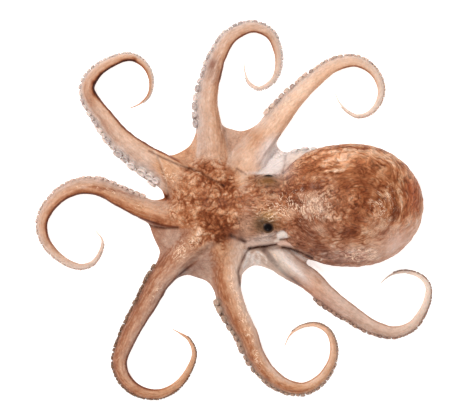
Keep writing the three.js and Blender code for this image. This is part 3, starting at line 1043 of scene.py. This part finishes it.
# Blotches: the middle and half sizes in plan, the turn in degrees, and how much darker and warmer.
BLOTCHES = (
    # The mantle's dark middle, from its right edge to its left.
    (111, 38, 5, 7, 0, 0.06, 0.1), (102, 34, 7, 5, 0, 0.04, 0.1), (95, 22, 6, 5, 0, 0.2, 0.1),
    (113, 14, 7, 8, 0, 0.18, 0.1), (111, 3, 6, 5, 0, 0.14, 0), (107, -6, 4, 5, 0, 0.34, 0),
    (101, -19, 5, 4, 0, 0.2, 0), (97, 8, 7, 9, 0, 0.17, 0),
    # Its lower left.
    (55, -8, 5, 3.5, 0, 0.16, 0.1), (69, -8, 5, 4, 0, 0.32, 0.1), (62, -19, 7, 4, 0, 0.12, 0),
    (73, -30, 9, 4, -20, 0.24, -0.2), (55, -28, 7, 4, -20, 0.14, -0.1), (83, -20, 6, 5, 0, 0.06, 0),
    (86, -4, 6, 6, 0, -0.1, 0), (92, -14, 5, 10, 0, -0.12, 0), (119, -22, 8, 6, 0, -0.1, -0.1),
    (49, -38, 5, 6, 0, -0.1, -0.1), (66, -45, 22, 8, 0, 0, -0.35),
    # Its right end.
    (159, 10, 7, 22, 0, -0.14, 0.4), (151, 31, 8, 8, 45, -0.1, 0.3), (145, -4, 4, 7, 0, 0.2, 0.1),
    (131, 30, 8, 6, 0, 0.1, 0.2), (121, 37, 6, 6, 0, 0.08, 0.1), (135, -6, 5, 7, 0, 0.14, 0),
    (135, 14, 4, 6, 0, -0.09, 0), (146, 46, 7, 5, -40, -0.14, 0.2), (120, 53, 12, 5, -10, -0.3, 0.1),
    (86, 54, 10, 4, 10, -0.2, 0.1),
    # Smaller changes, from its head end to its tail.
    (49, -13, 5, 7, 0, 0.12, 0), (59, 48, 6, 6, 0, -0.13, 0.1), (72, 49, 8, 5, 20, -0.06, 0),
    (59, 19, 5, 4, 0, 0.05, 0), (59, 2, 5, 7, 0, -0.2, 0), (70, 10, 4, 5, 0, 0.08, 0),
    (59, -17, 5, 7, 0, -0.22, 0), (59, -40, 10, 8, 0, 0, -0.25), (70, -40, 6, 8, 0, 0.07, 0),
    (81, 28, 5, 5, 0, -0.16, 0), (113, 28, 5, 5, 0, 0.08, 0), (83, -5, 7, 7, 0, -0.13, 0),
    (90, 19, 7, 5, 0, 0.1, 0), (92, 37, 8, 4, 0, -0.17, 0), (88, -35, 8, 5, 0, -0.12, 0),
    (92, -22, 8, 8, 0, 0, -0.25), (108, -20, 9, 8, 0, -0.13, 0), (115, 38, 8, 5, 0, -0.13, 0),
    (130, 14, 8, 8, 0, -0.07, 0), (135, -8, 5, 5, 0, 0.08, 0), (143, -5, 8, 12, 0, 0, 0.3),
    (146, 46, 6, 5, -40, -0.18, 0), (157, -17, 5, 6, 0, -0.12, 0.1), (153, 37, 6, 5, 0, -0.08, 0),
    # Its pale places.
    (62, -14, 20, 16, 0, 0, -0.2), (68, 6, 20, 14, 0, -0.12, -0.5), (146, -25, 20, 13, 35, -0.38, -0.6),
    (107, -40, 24, 8, 0, -0.2, -0.8), (84, -40, 12, 4, -15, -0.06, -0.6),
    (68, -20, 16, 10, 0, -0.04, -0.3), (107, 10, 12, 26, 0, 0.06, 0), (84, 47, 24, 8, 10, -0.2, 0.45),
    (134, 41, 14, 8, -30, -0.06, 0.1), (110, 50, 30, 6, -8, -0.1, 0.4), (57, 45, 9, 8, 0, -0.12, 0.2),
    # The thin pale bars at (89, 45) and (100, 40) on the next line are painted highlights.
    (89, 45, 7, 1.5, 0, -0.3, 0), (100, 40, 6, 1.5, 0, -0.3, 0), (128, -12, 10, 12, 20, -0.1, -0.2),
    (98, -44, 20, 6, 0, 0.16, 0), (60, 42, 14, 8, 25, 0.08, -0.05),
    # The head.
    (11, -9, 8, 11, 0, 0.0, -0.5), (8, 25, 5, 7, 0, -0.12, -0.1), (60, 20, 14, 5, 5, 0.2, 0.1),
    # The crown.
    (-12, 6, 17, 24, 0, 0.06, 0), (-10, -19, 9, 5, 15, 0.26, 0), (-2, -20, 7, 7, 0, 0.2, 0),
    (-20, 46, 10, 5, 0, -0.08, 0), (-63, 35, 9, 12, 0, 0.13, 0.7), (-62, 13, 3.5, 4, 0, 0.45, 0),
    (-4, 30, 10, 7, 0, 0.02, 0), (-40, 32, 6, 5, 0, -0.14, 0), (-60, 45, 8, 4, -30, -0.06, 0.2),
    (-25, 37, 7, 3.5, -20, 0.22, 0), (-4, 8, 8, 4, 15, 0.14, 0), (-14, -5, 6, 5, 0, 0.14, 0),
    (-20, -13, 6, 6, 0, 0.2, 0), (-28, 1, 4, 8, 0, 0.18, 0), (-41, 10, 7, 7, 0, 0.04, 0),
    (-32, -19, 6, 5, 0, -0.22, 0), (-57, 3, 6, 5, 0, -0.12, 0), (-35, -8, 5, 5, 0, 0.08, 0),
    (3, -25, 5, 3, 0, 0.12, 0), (-14, -36, 6, 6, 0, -0.15, 0.1), (-30, -30, 12, 5, 30, -0.04, -0.1),
    (6, 15, 4, 8, 0, 0.1, 0), (-19, 8, 5, 6, 0, 0.1, 0), (-5, 42, 6, 5, 0, 0.08, 0),
    (-37, 28, 5, 5, 0, -0.08, 0), (-28, -22, 6, 5, 0, -0.1, 0), (-60, 50, 7, 3, -30, -0.1, 0),
    (-72, -14, 10, 5, 0, 0.08, 0), (-4, -52, 7, 12, 0, -0.09, -0.1), (137, 4, 9, 16, 0, 0.05, 0.15),
    # The arms.
    (-21, 133, 7, 3.5, 60, 0.25, -0.5), (-20, 123, 8, 7, 60, 0.14, -0.4),
    (-68, -74, 4, 13, -27, 0.04, -0.3), (-55, -24, 12, 9, 0, -0.1, -0.1), (13.5, 63, 10, 10, 0, 0.1, 0.1),
    (0, 52, 6, 14, 0, 0.12, 0), (-130, 104, 7, 11, 0, 0.2, 0.1), (-120, 74, 6, 10, 30, 0.14, 0),
    (20, -120, 5, 14, 22, 0.1, 0), (58, 107, 12, 8, 45, -0.1, 0.1), (23, 62, 7, 9, -35, 0.18, 0.1),
    (34, 60, 6, 10, -38, -0.1, 0), (12, 72, 8, 6, 0, 0.12, 0.2), (58, -161, 14, 7, 0, 0.08, 0.4),
    (-45, -152, 10, 10, 0, 0.05, 0.4), (4, -22, 5, 4, 0, 0.12, 0), (-84, 8, 12, 10, 0, 0, 0.3),
    (-68, 41, 7, 5, 30, 0.04, 0.3), (70, -70, 10, 7, -45, 0.05, 0.5), (74, -155, 12, 9, 0, -0.12, 0),
    (-104, 50, 9, 6, 45, -0.1, 0), (-55, -35, 8, 6, 45, -0.08, 0), (98, -94, 12, 6, -40, -0.08, 0),
)
# Strokes of pigment: the half width, how much darker the skin is there, and the line in plan.
STROKES = (
    (1.3, 0.4, ((62, 46), (76, 53.5), (98, 57), (119, 55.5))),
    (1.2, 0.35, ((68, 41), (84, 51), (104, 53))),
    (1.3, 0.2, ((45, 30), (58, 33), (74, 39))),
    (1.2, 0.22, ((20, 17), (44, 16), (60, 19))),
    # The next stroke darkens the right_1 arm's inner edge in its curl: dark pigment and painted shade, as
    # on the arms' inner edges.
    (2.6, 0.6, ((-127.8, 107), (-127, 114.3), (-121.5, 122.4), (-116, 126), (-102, 132.5), (-92, 136))),
    (1.3, 0.3, ((27, -34), (42.3, -55), (60.3, -68.4), (73.8, -80), (89, -92.7), (104.4, -100))),
    (1.1, 0.25, ((8, 22), (24, 21), (40, 23))),
    (1.2, 0.2, ((42, 11), (58, 7))),
    (1, 0.2, ((74, 37), (90, 40), (108, 39))),
    (1, 0.25, ((70, 32), (84, 34), (98, 32))),
    (1.5, 0.22, ((125, 16), (129, 1), (124, -13))),
    (1.6, 0.26, ((137, 20), (141, 5), (138, -10), (130, -20))),
    (1.5, 0.24, ((148, 21), (152, 7), (149, -6))),
    (1.2, -0.25, ((132, 18), (136, 4), (132, -10))),
    (1.2, -0.22, ((143, 20), (147, 5), (144, -9))),
    (1.3, -0.2, ((72, 44), (88, 46.5), (104, 45))),
    (0.9, 0.25, ((60, 39), (72, 45.5), (86, 49.5))),
    (0.9, 0.25, ((84, 33), (98, 35), (110, 33))),
    (1.2, -0.28, ((80, 35), (96, 36.5))),
    (1.6, 0.25, ((-50, 38), (-36, 33), (-22, 26))),
    # The next stroke is a painted highlight along the edge of the fold at the right_1 arm's root.
    (1, -0.2, ((-73, 54), (-67, 42), (-63, 28), (-62, 15))),
    (1.4, 0.24, ((-129, 22.5), (-111, 19), (-93, 14.5), (-80, 12.5))),
    # The next three strokes: painted shade along the left_4 arm's lower side at its root, a painted
    # highlight along its ridge, and painted shade between it and the mantle.
    (2, 0.4, ((25, -36), (34, -48), (46, -58), (58, -67))),
    (2, -0.2, ((33, -36), (46, -48), (60, -58))),
    (2, 0.16, ((50, -40), (62, -50), (76, -64))),
    (1, -0.4, ((14, -47), (15, -40), (20, -37), (26, -41), (28, -47))),
    (1, -0.4, ((20, -37), (21, -44), (18, -50))),
    (1, -0.35, ((12, -36), (10, -44), (6, -50))),
)
# Creases: the depth and half width of the groove, how dark it is painted, which is dark pigment for some
# creases and painted shade in the groove and under an overhang for others, and its line in plan.
CREASES = {
    "right_1_ridge": (0.8, 1.1, 0.55, ((-78, 54), (-64, 47), (-50, 41), (-32, 35), (-21, 28), (-10, 22))),
    "right_1_root": (0.6, 1.2, 0.35, ((-70, 48), (-64, 30), (-61, 13))),
    "left_1_under": (1.2, 1.2, 0.6, ((-86, -10), (-76, -14), (-64, -15.5), (-52, -15))),
    "left_2_under": (1, 2.6, 0.3, ((-5, -22), (-17, -29), (-30, -36), (-41, -47), (-50, -58))),
    "crown_to_head": (0.8, 1.8, 0.75, ((-4, -22.5), (3.6, -25.2), (8, -27.5))),
    "web_to_head": (0.8, 1.1, 0.5, ((1, 38), (9, 33))),
    "left_3_side": (0.9, 1.2, 0.7, ((13, -33), (9, -38), (5, -46), (2, -55), (4, -67))),
    "collar": (1.6, 1.15, 1, ((12, -34), (18, -32.5), (26, -31.5), (36, -30))),
    "funnel": (1, 1.3, 0.9, ((42, -32), (50, -33.5), (60, -38), (68, -42))),
    "left_4_root": (1, 1.9, 0.3, ((24, -34), (30, -41), (37, -49))),
    "collar_top": (0.7, 0.8, 0.3, ((12.6, -26), (23.4, -24.6), (32.4, -22.6), (38, -19.4), (44, -16))),
    "under_nub": (1, 0.8, 0.6, ((39.5, -25.6), (44, -25.4), (48, -24))),
    "left_lid": (0.4, 0.7, 0.2, ((19.8, -18), (25, -21), (31.5, -21), (36, -18))),
    "right_lid": (0.5, 1.2, 0.1, ((17.5, 31), (17, 27), (20, 23), (28, 21.5), (37, 22.5), (41, 26))),
    "right_3_fold": (0.9, 1.2, 0.22, ((40, 69), (32, 58), (26, 49), (21, 40))),
    "mantle_front": (1.2, 1.2, 0.28, ((45, 53), (44, 41), (42, 34))),
}
# Tints: the middle and half sizes in plan, the turn in degrees, the colour and how much of it.
TINTS = (
    (33, 45, 11, 12, 0, LILAC, 0.95), (28.5, 27, 10.5, 4.8, 0, OLIVE, 0.85),
    (19, -12, 4.5, 7, 0, OLIVE, 0.65), (29, -14, 8, 6.5, 0, OLIVE, 0.7),
    (21.5, -11.5, 4.5, 5.5, 0, DARK_OLIVE, 0.8), (27, -11.5, 7, 6, 0, DARK_OLIVE, 0.85),
    (30, -21.5, 10, 2.5, 10, FOLD, 0.6), (29, -3.5, 6, 3.5, 0, GOLD, 0.35),
    (22, -27, 14, 3.6, 3, FOLD, 0.9), (26, 34.3, 11, 1.2, 0, LILAC, 0.8),
    (9, -15, 6, 9, 0, PINK_GREY, 0.6), (40, -46, 16, 9, -50, GREY, 0.55), (18, -46, 12, 8, 0, GREY, 0.2),
    (76, -74, 28, 7, -43, PINK, 0.15), (145, -26, 17, 11, 35, PINK, 0.3), (106, -40, 18, 7, 0, PINK, 0.2),
    (92, 46, 26, 7, -5, ORANGE, 0.2), (158, 14, 7, 22, 0, RUST, 0.5),
    # The first tint on the next line, LILAC at (50, -49), is a painted highlight along the left_4 arm's
    # ridge.
    (50, -49, 19, 2.4, -46, LILAC, 0.55), (31, 60, 5, 8, -35, LILAC, 0.45),
)
# The mantle's smoothest places: the middle and half sizes in plan, the turn, and how smooth.
SMOOTH_PLACES = (
    (143, -28, 26, 11, 38, 0.75),
)
# Places with painted glints: the middle and half sizes in plan, the turn, and how many pale flecks.
GLINT_PLACES = (
    (70, 4, 18, 14, 10, 0.8), (128, -2, 14, 24, 0, 0.7), (137, 8, 9, 16, 0, 0.25),
    (107, -41, 18, 5, 0, 1.2), (112, -38, 11, 4, 5, 1.2), (92, 44, 16, 4, -8, 0.5),
    (45, 8, 24, 9, -5, 1.0), (31, -3, 14, 6, 0, 1.0), (-20, 5, 30, 26, 0, 0.1), (-55, 33, 14, 14, 0, 0.5),
    (-48, -36, 10, 10, 0, 0.6), (-5, -58, 3.5, 14, 0, 0.6), (7, -94, 2.6, 24, 19, 1.8),
    (-80, 4, 16, 4, 0, 0.6), (-72, -76, 3, 16, -28, 0.7), (-13, 88, 3, 24, 0, 0.6),
    (42, 93, 3, 22, -38, 0.6), (46, -46, 2.5, 14, 52, 0.9), (40, -140, 22, 12, -20, 0.7),
    (-120, 40, 40, 40, 0, 0.3), (-42, -30, 16, 5, 38, 0.8), (-126, -40, 20, 20, 0, 0.4),
    (-95, -140, 16, 16, 0, 0.4),
)


def add_values(piece, name, kind, key, values):
    """Gives each vertex of a piece its values, as an attribute that the piece's material reads."""
    layer = piece.data.attributes.new(name, kind, "POINT")
    layer.data.foreach_set(key, np.asarray(values, np.float32).ravel())


def add_paint(piece, colour):
    shades = np.append(colour, np.ones((len(colour), 1)), axis=1)
    add_values(piece, "paint", "FLOAT_COLOR", "color", shades)


def paint_skin(piece):
    """Gives a piece of skin its colours, shine, specks, the density of its painted glints and the grain
    they follow.
    """
    points = vectors_of(piece.data.vertices, "co") / MM
    up = vectors_of(piece.data.vertex_normals, "vector")[:, 2]
    skin = Skin(points)
    upper = np.clip(up * 2 + 0.5, 0, 1)
    add_paint(piece, paint(skin, upper))
    forms = {
        "mantle": skin.mantle, "head": skin.head, "crown": skin.crown, "web": skin.web,
        "arms": skin.arms,
    }
    shine = sum(share * forms[form] for form, share in SHINE.items())
    shine += skin.arms * skin.dress("wet")
    forms["mantle"] = skin.mantle * skin.rough
    speckle = sum(share * forms[form] for form, share in SPECKLE.items())
    for roll in ROLLS.values():
        speckle = speckle * mix(0.3, 1.0, ramp(roll_field(*points.T, roll), 0.5, 1.5))
    for name, values in (("shine", shine), ("speckle", speckle), ("wet", glint_density(skin, upper))):
        add_values(piece, name, "FLOAT", "value", values)
    add_values(piece, "grain", "FLOAT_VECTOR", "vector", skin.grain * MM)


def make_skin():
    """The skin with its relief, brought down to SKIN_TRIANGLES."""
    points, quads = skin_mesh()
    body = mesh_of("skin", points, quads)
    normals = vectors_of(body.data.vertex_normals, "vector")
    upper = np.clip(normals[:, 2] * 3, 0, 1)
    off_floor = ramp(points[:, 2], 0.5, 3.0)[:, None]
    moved = points + normals * relief(Skin(points), upper)[:, None] * off_floor
    body.data.vertices.foreach_set("co", (moved * MM).astype(np.float32).ravel())
    body.data.update()
    fewer = body.modifiers.new("fewer", "DECIMATE")
    fewer.ratio = SKIN_TRIANGLES / (2 * len(quads))
    shaped = body.evaluated_get(bpy.context.evaluated_depsgraph_get())
    mesh = bpy.data.meshes.new_from_object(shaped)
    body.modifiers.clear()
    body.data = mesh
    mesh.polygons.foreach_set("use_smooth", np.ones(len(mesh.polygons), bool))
    return body


def make_tips():
    """The thin last stretch of each arm, from inside the skin to the tip."""
    across, upwards, _ = ring(1.0, 0.0, TIP_SIDES).T
    tubes = []
    for arm in ARMS.values():
        first = int(np.argmax(arm["width"] < FIELD_TIP_WIDTH)) - TIP_OVERLAP
        stations = np.append(np.arange(first, len(arm["line"]) - 2, TIP_STEP), len(arm["line"]) - 1)
        rings = []
        for number, i in enumerate(stations):
            slim = mix(0.9, 1.0, min(1, number / 4))
            slim = slim * mix(1.0, TIP_SLIM, ramp(number, 4, len(stations) - 1))
            left = np.array((-arm["way"][i][1], arm["way"][i][0]))
            side = arm["line"][i] + left * across[:, None] * 0.5 * arm["width"][i] * slim
            rise = arm["height"][i] * (SECTION_MIDDLE + SECTION_HALF * upwards) * slim
            rings.append(np.column_stack([side, np.maximum(TIP_LOWEST, rise)]))
        tubes.append(closed_tube(rings, rings[0].mean(axis=0), rings[-1].mean(axis=0)))
    return mesh_of("arm_tips", *joined(tubes))


# Suckers

def cup_template():
    """A sucker's cup of radius 1 with its rim up, closed below, and its faces."""
    rings = [ring(radius, height, CUP_SIDES) for radius, height in CUP]
    return closed_tube(rings, (0, 0, CUP[0][1]), (0, 0, CUP[-1][1]))


def sucker_places(arm, draw):
    """For each sucker of an arm: its size, its base's middle, the way it faces and its share."""
    for row, row_angle in enumerate(CUP_ROWS):
        run = (arm["dress"]["cups_from"] + CUP_STAGGER * row) * arm["length"]
        while run < CUPS_TO * arm["length"]:
            i = int(run / arm["length"] * (len(arm["line"]) - 1))
            width = arm["width"][i]
            size = CUP_SMALLEST + CUP_SIZE * width * arm["dress"]["cup"]
            size = size * draw.uniform(*CUP_SIZE_SPREAD)
            roll = arm["roll"] * ramp(width, *ROLL_WIDTHS)
            angle = math.radians(row_angle + roll + draw.uniform(-CUP_ANGLE_SPREAD, CUP_ANGLE_SPREAD))
            half_u, half_v = section(width, arm["height"][i])
            u, v = half_u * math.cos(angle), half_v * math.sin(angle)
            out = Vector((*arm["out"][i], 0))
            base = Vector((*arm["line"][i], SECTION_MIDDLE * arm["height"][i] + v))
            base = base + out * (u - ARM_LEAN * v)
            slope = u / half_u**2
            face = out * slope + Vector((0, 0, ARM_LEAN * slope + v / half_v**2))
            yield size, base, face.normalized(), run / arm["length"]
            run += size * CUP_STEP


def sucker_paint(arm, heights, middle, share, draw):
    """A sucker's colours: painted light at the rim, painted shade low on it and in the hollow, and dull
    violet in places.
    """
    tint = mix(linear(*arm["dress"]["sucker"]), CREAM, draw.uniform(0, 0.2))
    tint = mix(tint, VIOLET, float(dusk(middle[None], share)[0]) * arm["dress"]["dusk"])
    shade = np.interp(heights, *zip(*CUP_PAINTED_SHADING))
    return tint * shade[:, None]


def make_suckers(name, arm, draw):
    cup, cup_faces = cup_template()
    cups, colours = [], []
    for size, base, face, share in arm["cups"]:
        turn = np.array(face.to_track_quat("Z", "Y").to_matrix())
        placed = (cup * size) @ turn.T + np.array(base)
        placed[:, 2] = np.maximum(placed[:, 2], CUP_LOWEST)
        cups.append((placed, cup_faces))
        colours.append(sucker_paint(arm, cup[:, 2], np.array(base), share, draw))
    piece = mesh_of(name, *joined(cups))
    add_paint(piece, np.vstack(colours))
    return piece


# Eyes

def make_eye(name, eye):
    """The eyeball's front, an egg-shaped ball whose front attribute is 1 where it looks."""
    turn = np.array(Vector(eye["looks"]).normalized().to_track_quat("Z", "X").to_matrix())
    polars = np.linspace(math.pi, 0, EYEBALL_RINGS + 1)[1:-1]
    rings = [ring(math.sin(polar), math.cos(polar), EYEBALL_SIDES) for polar in polars]
    ball, faces = closed_tube(rings, (0, 0, -1), (0, 0, 1))
    placed = (ball * EYEBALL_HALF) @ turn.T + np.array(eye_point(eye, EYE_RADIUS - EYEBALL_SUNK))
    piece = mesh_of(name, placed, faces)
    add_values(piece, "front", "FLOAT", "value", ball[:, 2])
    return piece


# Materials

class Nodes:
    """A material's node tree, with short calls to add and join nodes."""

    def __init__(self, name):
        self.material = bpy.data.materials.new(name)
        self.material.use_nodes = True
        self.tree = self.material.node_tree
        self.shader = self.tree.nodes["Principled BSDF"]

    def join(self, out, into):
        self.tree.links.new(out, into)

    def feed(self, out, name):
        """Joins a node's output to the shader's socket of that name."""
        self.join(out, self.shader.inputs[name])

    def set(self, **values):
        for key, value in values.items():
            self.shader.inputs[key.replace("_", " ").title().replace("Ior", "IOR")].default_value = value

    def attribute(self, name, output="Color"):
        node = self.tree.nodes.new("ShaderNodeAttribute")
        node.attribute_name = name
        return node.outputs[output]

    def noise(self, size_mm, detail=3.0, place=None):
        place = place or self.tree.nodes.new("ShaderNodeTexCoord").outputs["Object"]
        node = self.tree.nodes.new("ShaderNodeTexNoise")
        node.inputs["Scale"].default_value = 1 / (size_mm * MM)
        node.inputs["Detail"].default_value = detail
        self.join(place, node.inputs["Vector"])
        return node.outputs["Fac"]

    def ramp(self, value, stops):
        node = self.tree.nodes.new("ShaderNodeValToRGB")
        points = node.color_ramp.elements
        while len(points) < len(stops):
            points.new(0.5)
        for point, (where, colour) in zip(points, stops):
            point.position = where
            point.color = (*np.broadcast_to(colour, 3), 1)
        self.join(value, node.inputs["Fac"])
        return node.outputs["Color"]

    def blend(self, kind):
        node = self.tree.nodes.new("ShaderNodeMix")
        node.data_type = "RGBA"
        node.blend_type = kind
        return node

    def product(self, a, b):
        node = self.tree.nodes.new("ShaderNodeMath")
        node.operation = "MULTIPLY"
        self.join(a, node.inputs[0])
        self.join(b, node.inputs[1])
        return node.outputs[0]

    def times(self, a, b, share):
        node = self.blend("MULTIPLY")
        if isinstance(share, float):
            node.inputs[0].default_value = share
        else:
            self.join(share, node.inputs[0])
        self.join(a, node.inputs[6])
        self.join(b, node.inputs[7])
        return node.outputs[2]

    def fleck(self, colour, fleck_colour, share):
        node = self.blend("MIX")
        self.join(share, node.inputs[0])
        self.join(colour, node.inputs[6])
        node.inputs[7].default_value = (*fleck_colour, 1)
        return node.outputs[2]

    def bump(self, height, depth_mm, strength):
        node = self.tree.nodes.new("ShaderNodeBump")
        node.inputs["Strength"].default_value = strength
        node.inputs["Distance"].default_value = depth_mm * MM
        self.join(height, node.inputs["Height"])
        return node.outputs["Normal"]


def skin_material():
    nodes = Nodes("wet_skin")
    grain = nodes.attribute("grain", "Vector")
    fine = nodes.noise(1.7, 3.0, grain)
    specks = nodes.ramp(fine, ((0.34, 0.5), (0.5, 0.97), (0.66, 1.4)))
    colour = nodes.times(nodes.attribute("paint"), specks, nodes.attribute("speckle", "Fac"))
    threads = nodes.ramp(nodes.noise(4.2, 1.5, grain), ((0.465, 1.0), (0.5, 0.35), (0.535, 1.0)))
    colour = nodes.times(colour, threads, nodes.attribute("speckle", "Fac"))
    # Painted glints: thin pale lines of GLINT where the painted glint density is high, standing in for
    # light off wet skin.
    painted_glints = nodes.ramp(nodes.noise(2.8, 2.0, grain), ((0.45, 0.0), (0.5, 1.0), (0.55, 0.0)))
    painted_glints = nodes.ramp(nodes.product(painted_glints, nodes.attribute("wet", "Fac")), ((0.22, 0.0), (0.6, 0.85)))
    nodes.feed(nodes.fleck(colour, GLINT, painted_glints), "Base Color")
    rough = nodes.ramp(nodes.noise(5.0), ((0.35, 0.42), (0.7, 0.6)))
    nodes.feed(rough, "Roughness")
    nodes.feed(nodes.bump(fine, 0.4, 0.35), "Normal")
    nodes.feed(nodes.attribute("shine", "Fac"), "Coat Weight")
    nodes.set(coat_roughness=0.28, subsurface_weight=0.1, subsurface_scale=0.003)
    nodes.set(specular_ior_level=0.07, specular_tint=(1.0, 0.75, 0.55, 1.0))
    nodes.shader.inputs["Subsurface Radius"].default_value = (1.0, 0.45, 0.3)
    return nodes.material


def sucker_material():
    nodes = Nodes("sucker_skin")
    spots = nodes.ramp(nodes.noise(3.0), ((0.38, 0.72), (0.6, 1.0)))
    nodes.feed(nodes.times(nodes.attribute("paint"), spots, 0.8), "Base Color")
    nodes.feed(nodes.bump(nodes.noise(0.8, 2.0), 0.15, 0.5), "Normal")
    nodes.set(roughness=0.4, coat_weight=0.12, coat_roughness=0.15, subsurface_weight=0.1)
    nodes.set(subsurface_scale=0.002, specular_ior_level=0.15)
    return nodes.material


def eye_material():
    nodes = Nodes("eye_glaze")
    stops = ((0.6, linear(98, 72, 52)), (0.78, linear(56, 38, 31)), (0.88, linear(13, 7, 8)))
    colour = nodes.ramp(nodes.attribute("front"), stops)
    veins = nodes.ramp(nodes.noise(1.6), ((0.35, 0.7), (0.65, 1.1)))
    nodes.feed(nodes.times(colour, veins, 0.5), "Base Color")
    nodes.set(roughness=0.35, coat_weight=0.03, coat_roughness=0.08, specular_ior_level=0.05)
    return nodes.material


def floor_material():
    nodes = Nodes("white_board")
    tone = nodes.ramp(nodes.noise(60.0, 2.0), ((0.3, 0.9), (0.7, 0.92)))
    nodes.feed(tone, "Base Color")
    nodes.shader.inputs["Emission Color"].default_value = (1, 1, 1, 1)
    nodes.set(roughness=0.8, emission_strength=0.55)
    return nodes.material


# Camera, floor and light

def add_camera():
    data = bpy.data.cameras.new("camera")
    data.sensor_width = SENSOR
    data.lens = SENSOR * (CAMERA_HEIGHT - FOCUS_HEIGHT) / (PHOTO_WIDTH * MM_PER_PIXEL)
    data.clip_start = 0.05
    camera = bpy.data.objects.new("camera", data)
    camera.location = (
        (PHOTO_WIDTH / 2 - ORIGIN_PIXEL[0]) * MM_PER_PIXEL * MM,
        (ORIGIN_PIXEL[1] - PHOTO_HEIGHT / 2) * MM_PER_PIXEL * MM,
        CAMERA_HEIGHT * MM,
    )
    bpy.context.scene.collection.objects.link(camera)
    bpy.context.scene.camera = camera


def add_light(name, place, size, watts):
    data = bpy.data.lights.new(name, "AREA")
    data.shape = "DISK"
    data.size = size
    data.energy = watts
    data.color = LAMP_COLOUR
    lamp = bpy.data.objects.new(name, data)
    lamp.location = place
    lamp.rotation_euler = (-Vector(place)).to_track_quat("-Z", "Y").to_euler()
    bpy.context.scene.collection.objects.link(lamp)


def add_stage():
    half = FLOOR_HALF
    corners = [(-half, -half, 0), (half, -half, 0), (half, half, 0), (-half, half, 0)]
    floor = mesh_of("floor", corners, [(0, 1, 2, 3)], smooth=False)
    floor.data.materials.append(floor_material())
    world = bpy.data.worlds.new("studio")
    world.use_nodes = True
    world.node_tree.nodes["Background"].inputs["Color"].default_value = (1, 1, 1, 1)
    world.node_tree.nodes["Background"].inputs["Strength"].default_value = WORLD_STRENGTH
    bpy.context.scene.world = world
    for name, place, size, watts in LIGHTS:
        add_light(name, place, size, watts)
    bpy.context.scene.view_settings.view_transform = "Standard"


def finish_piece(piece, material):
    piece.data.materials.append(material)
    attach(piece, "root")


# The whole animal

draw = np.random.RandomState(SUCKER_SEED)
for name, arm in ARMS.items():
    lay_out(arm)
    arm["dress"] = DRESSES[name]
    arm["cups"] = list(sucker_places(arm, draw))

add_camera()
add_stage()
skin = make_skin()
tips = make_tips()
flesh = skin_material()
for piece in (skin, tips):
    paint_skin(piece)
    finish_piece(piece, flesh)
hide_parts(NODE)

cup_flesh = sucker_material()
for name, arm in ARMS.items():
    finish_piece(make_suckers("suckers_" + name, arm, draw), cup_flesh)

glaze = eye_material()
for side, eye in EYES.items():
    finish_piece(make_eye("eye_" + side, eye), glaze)
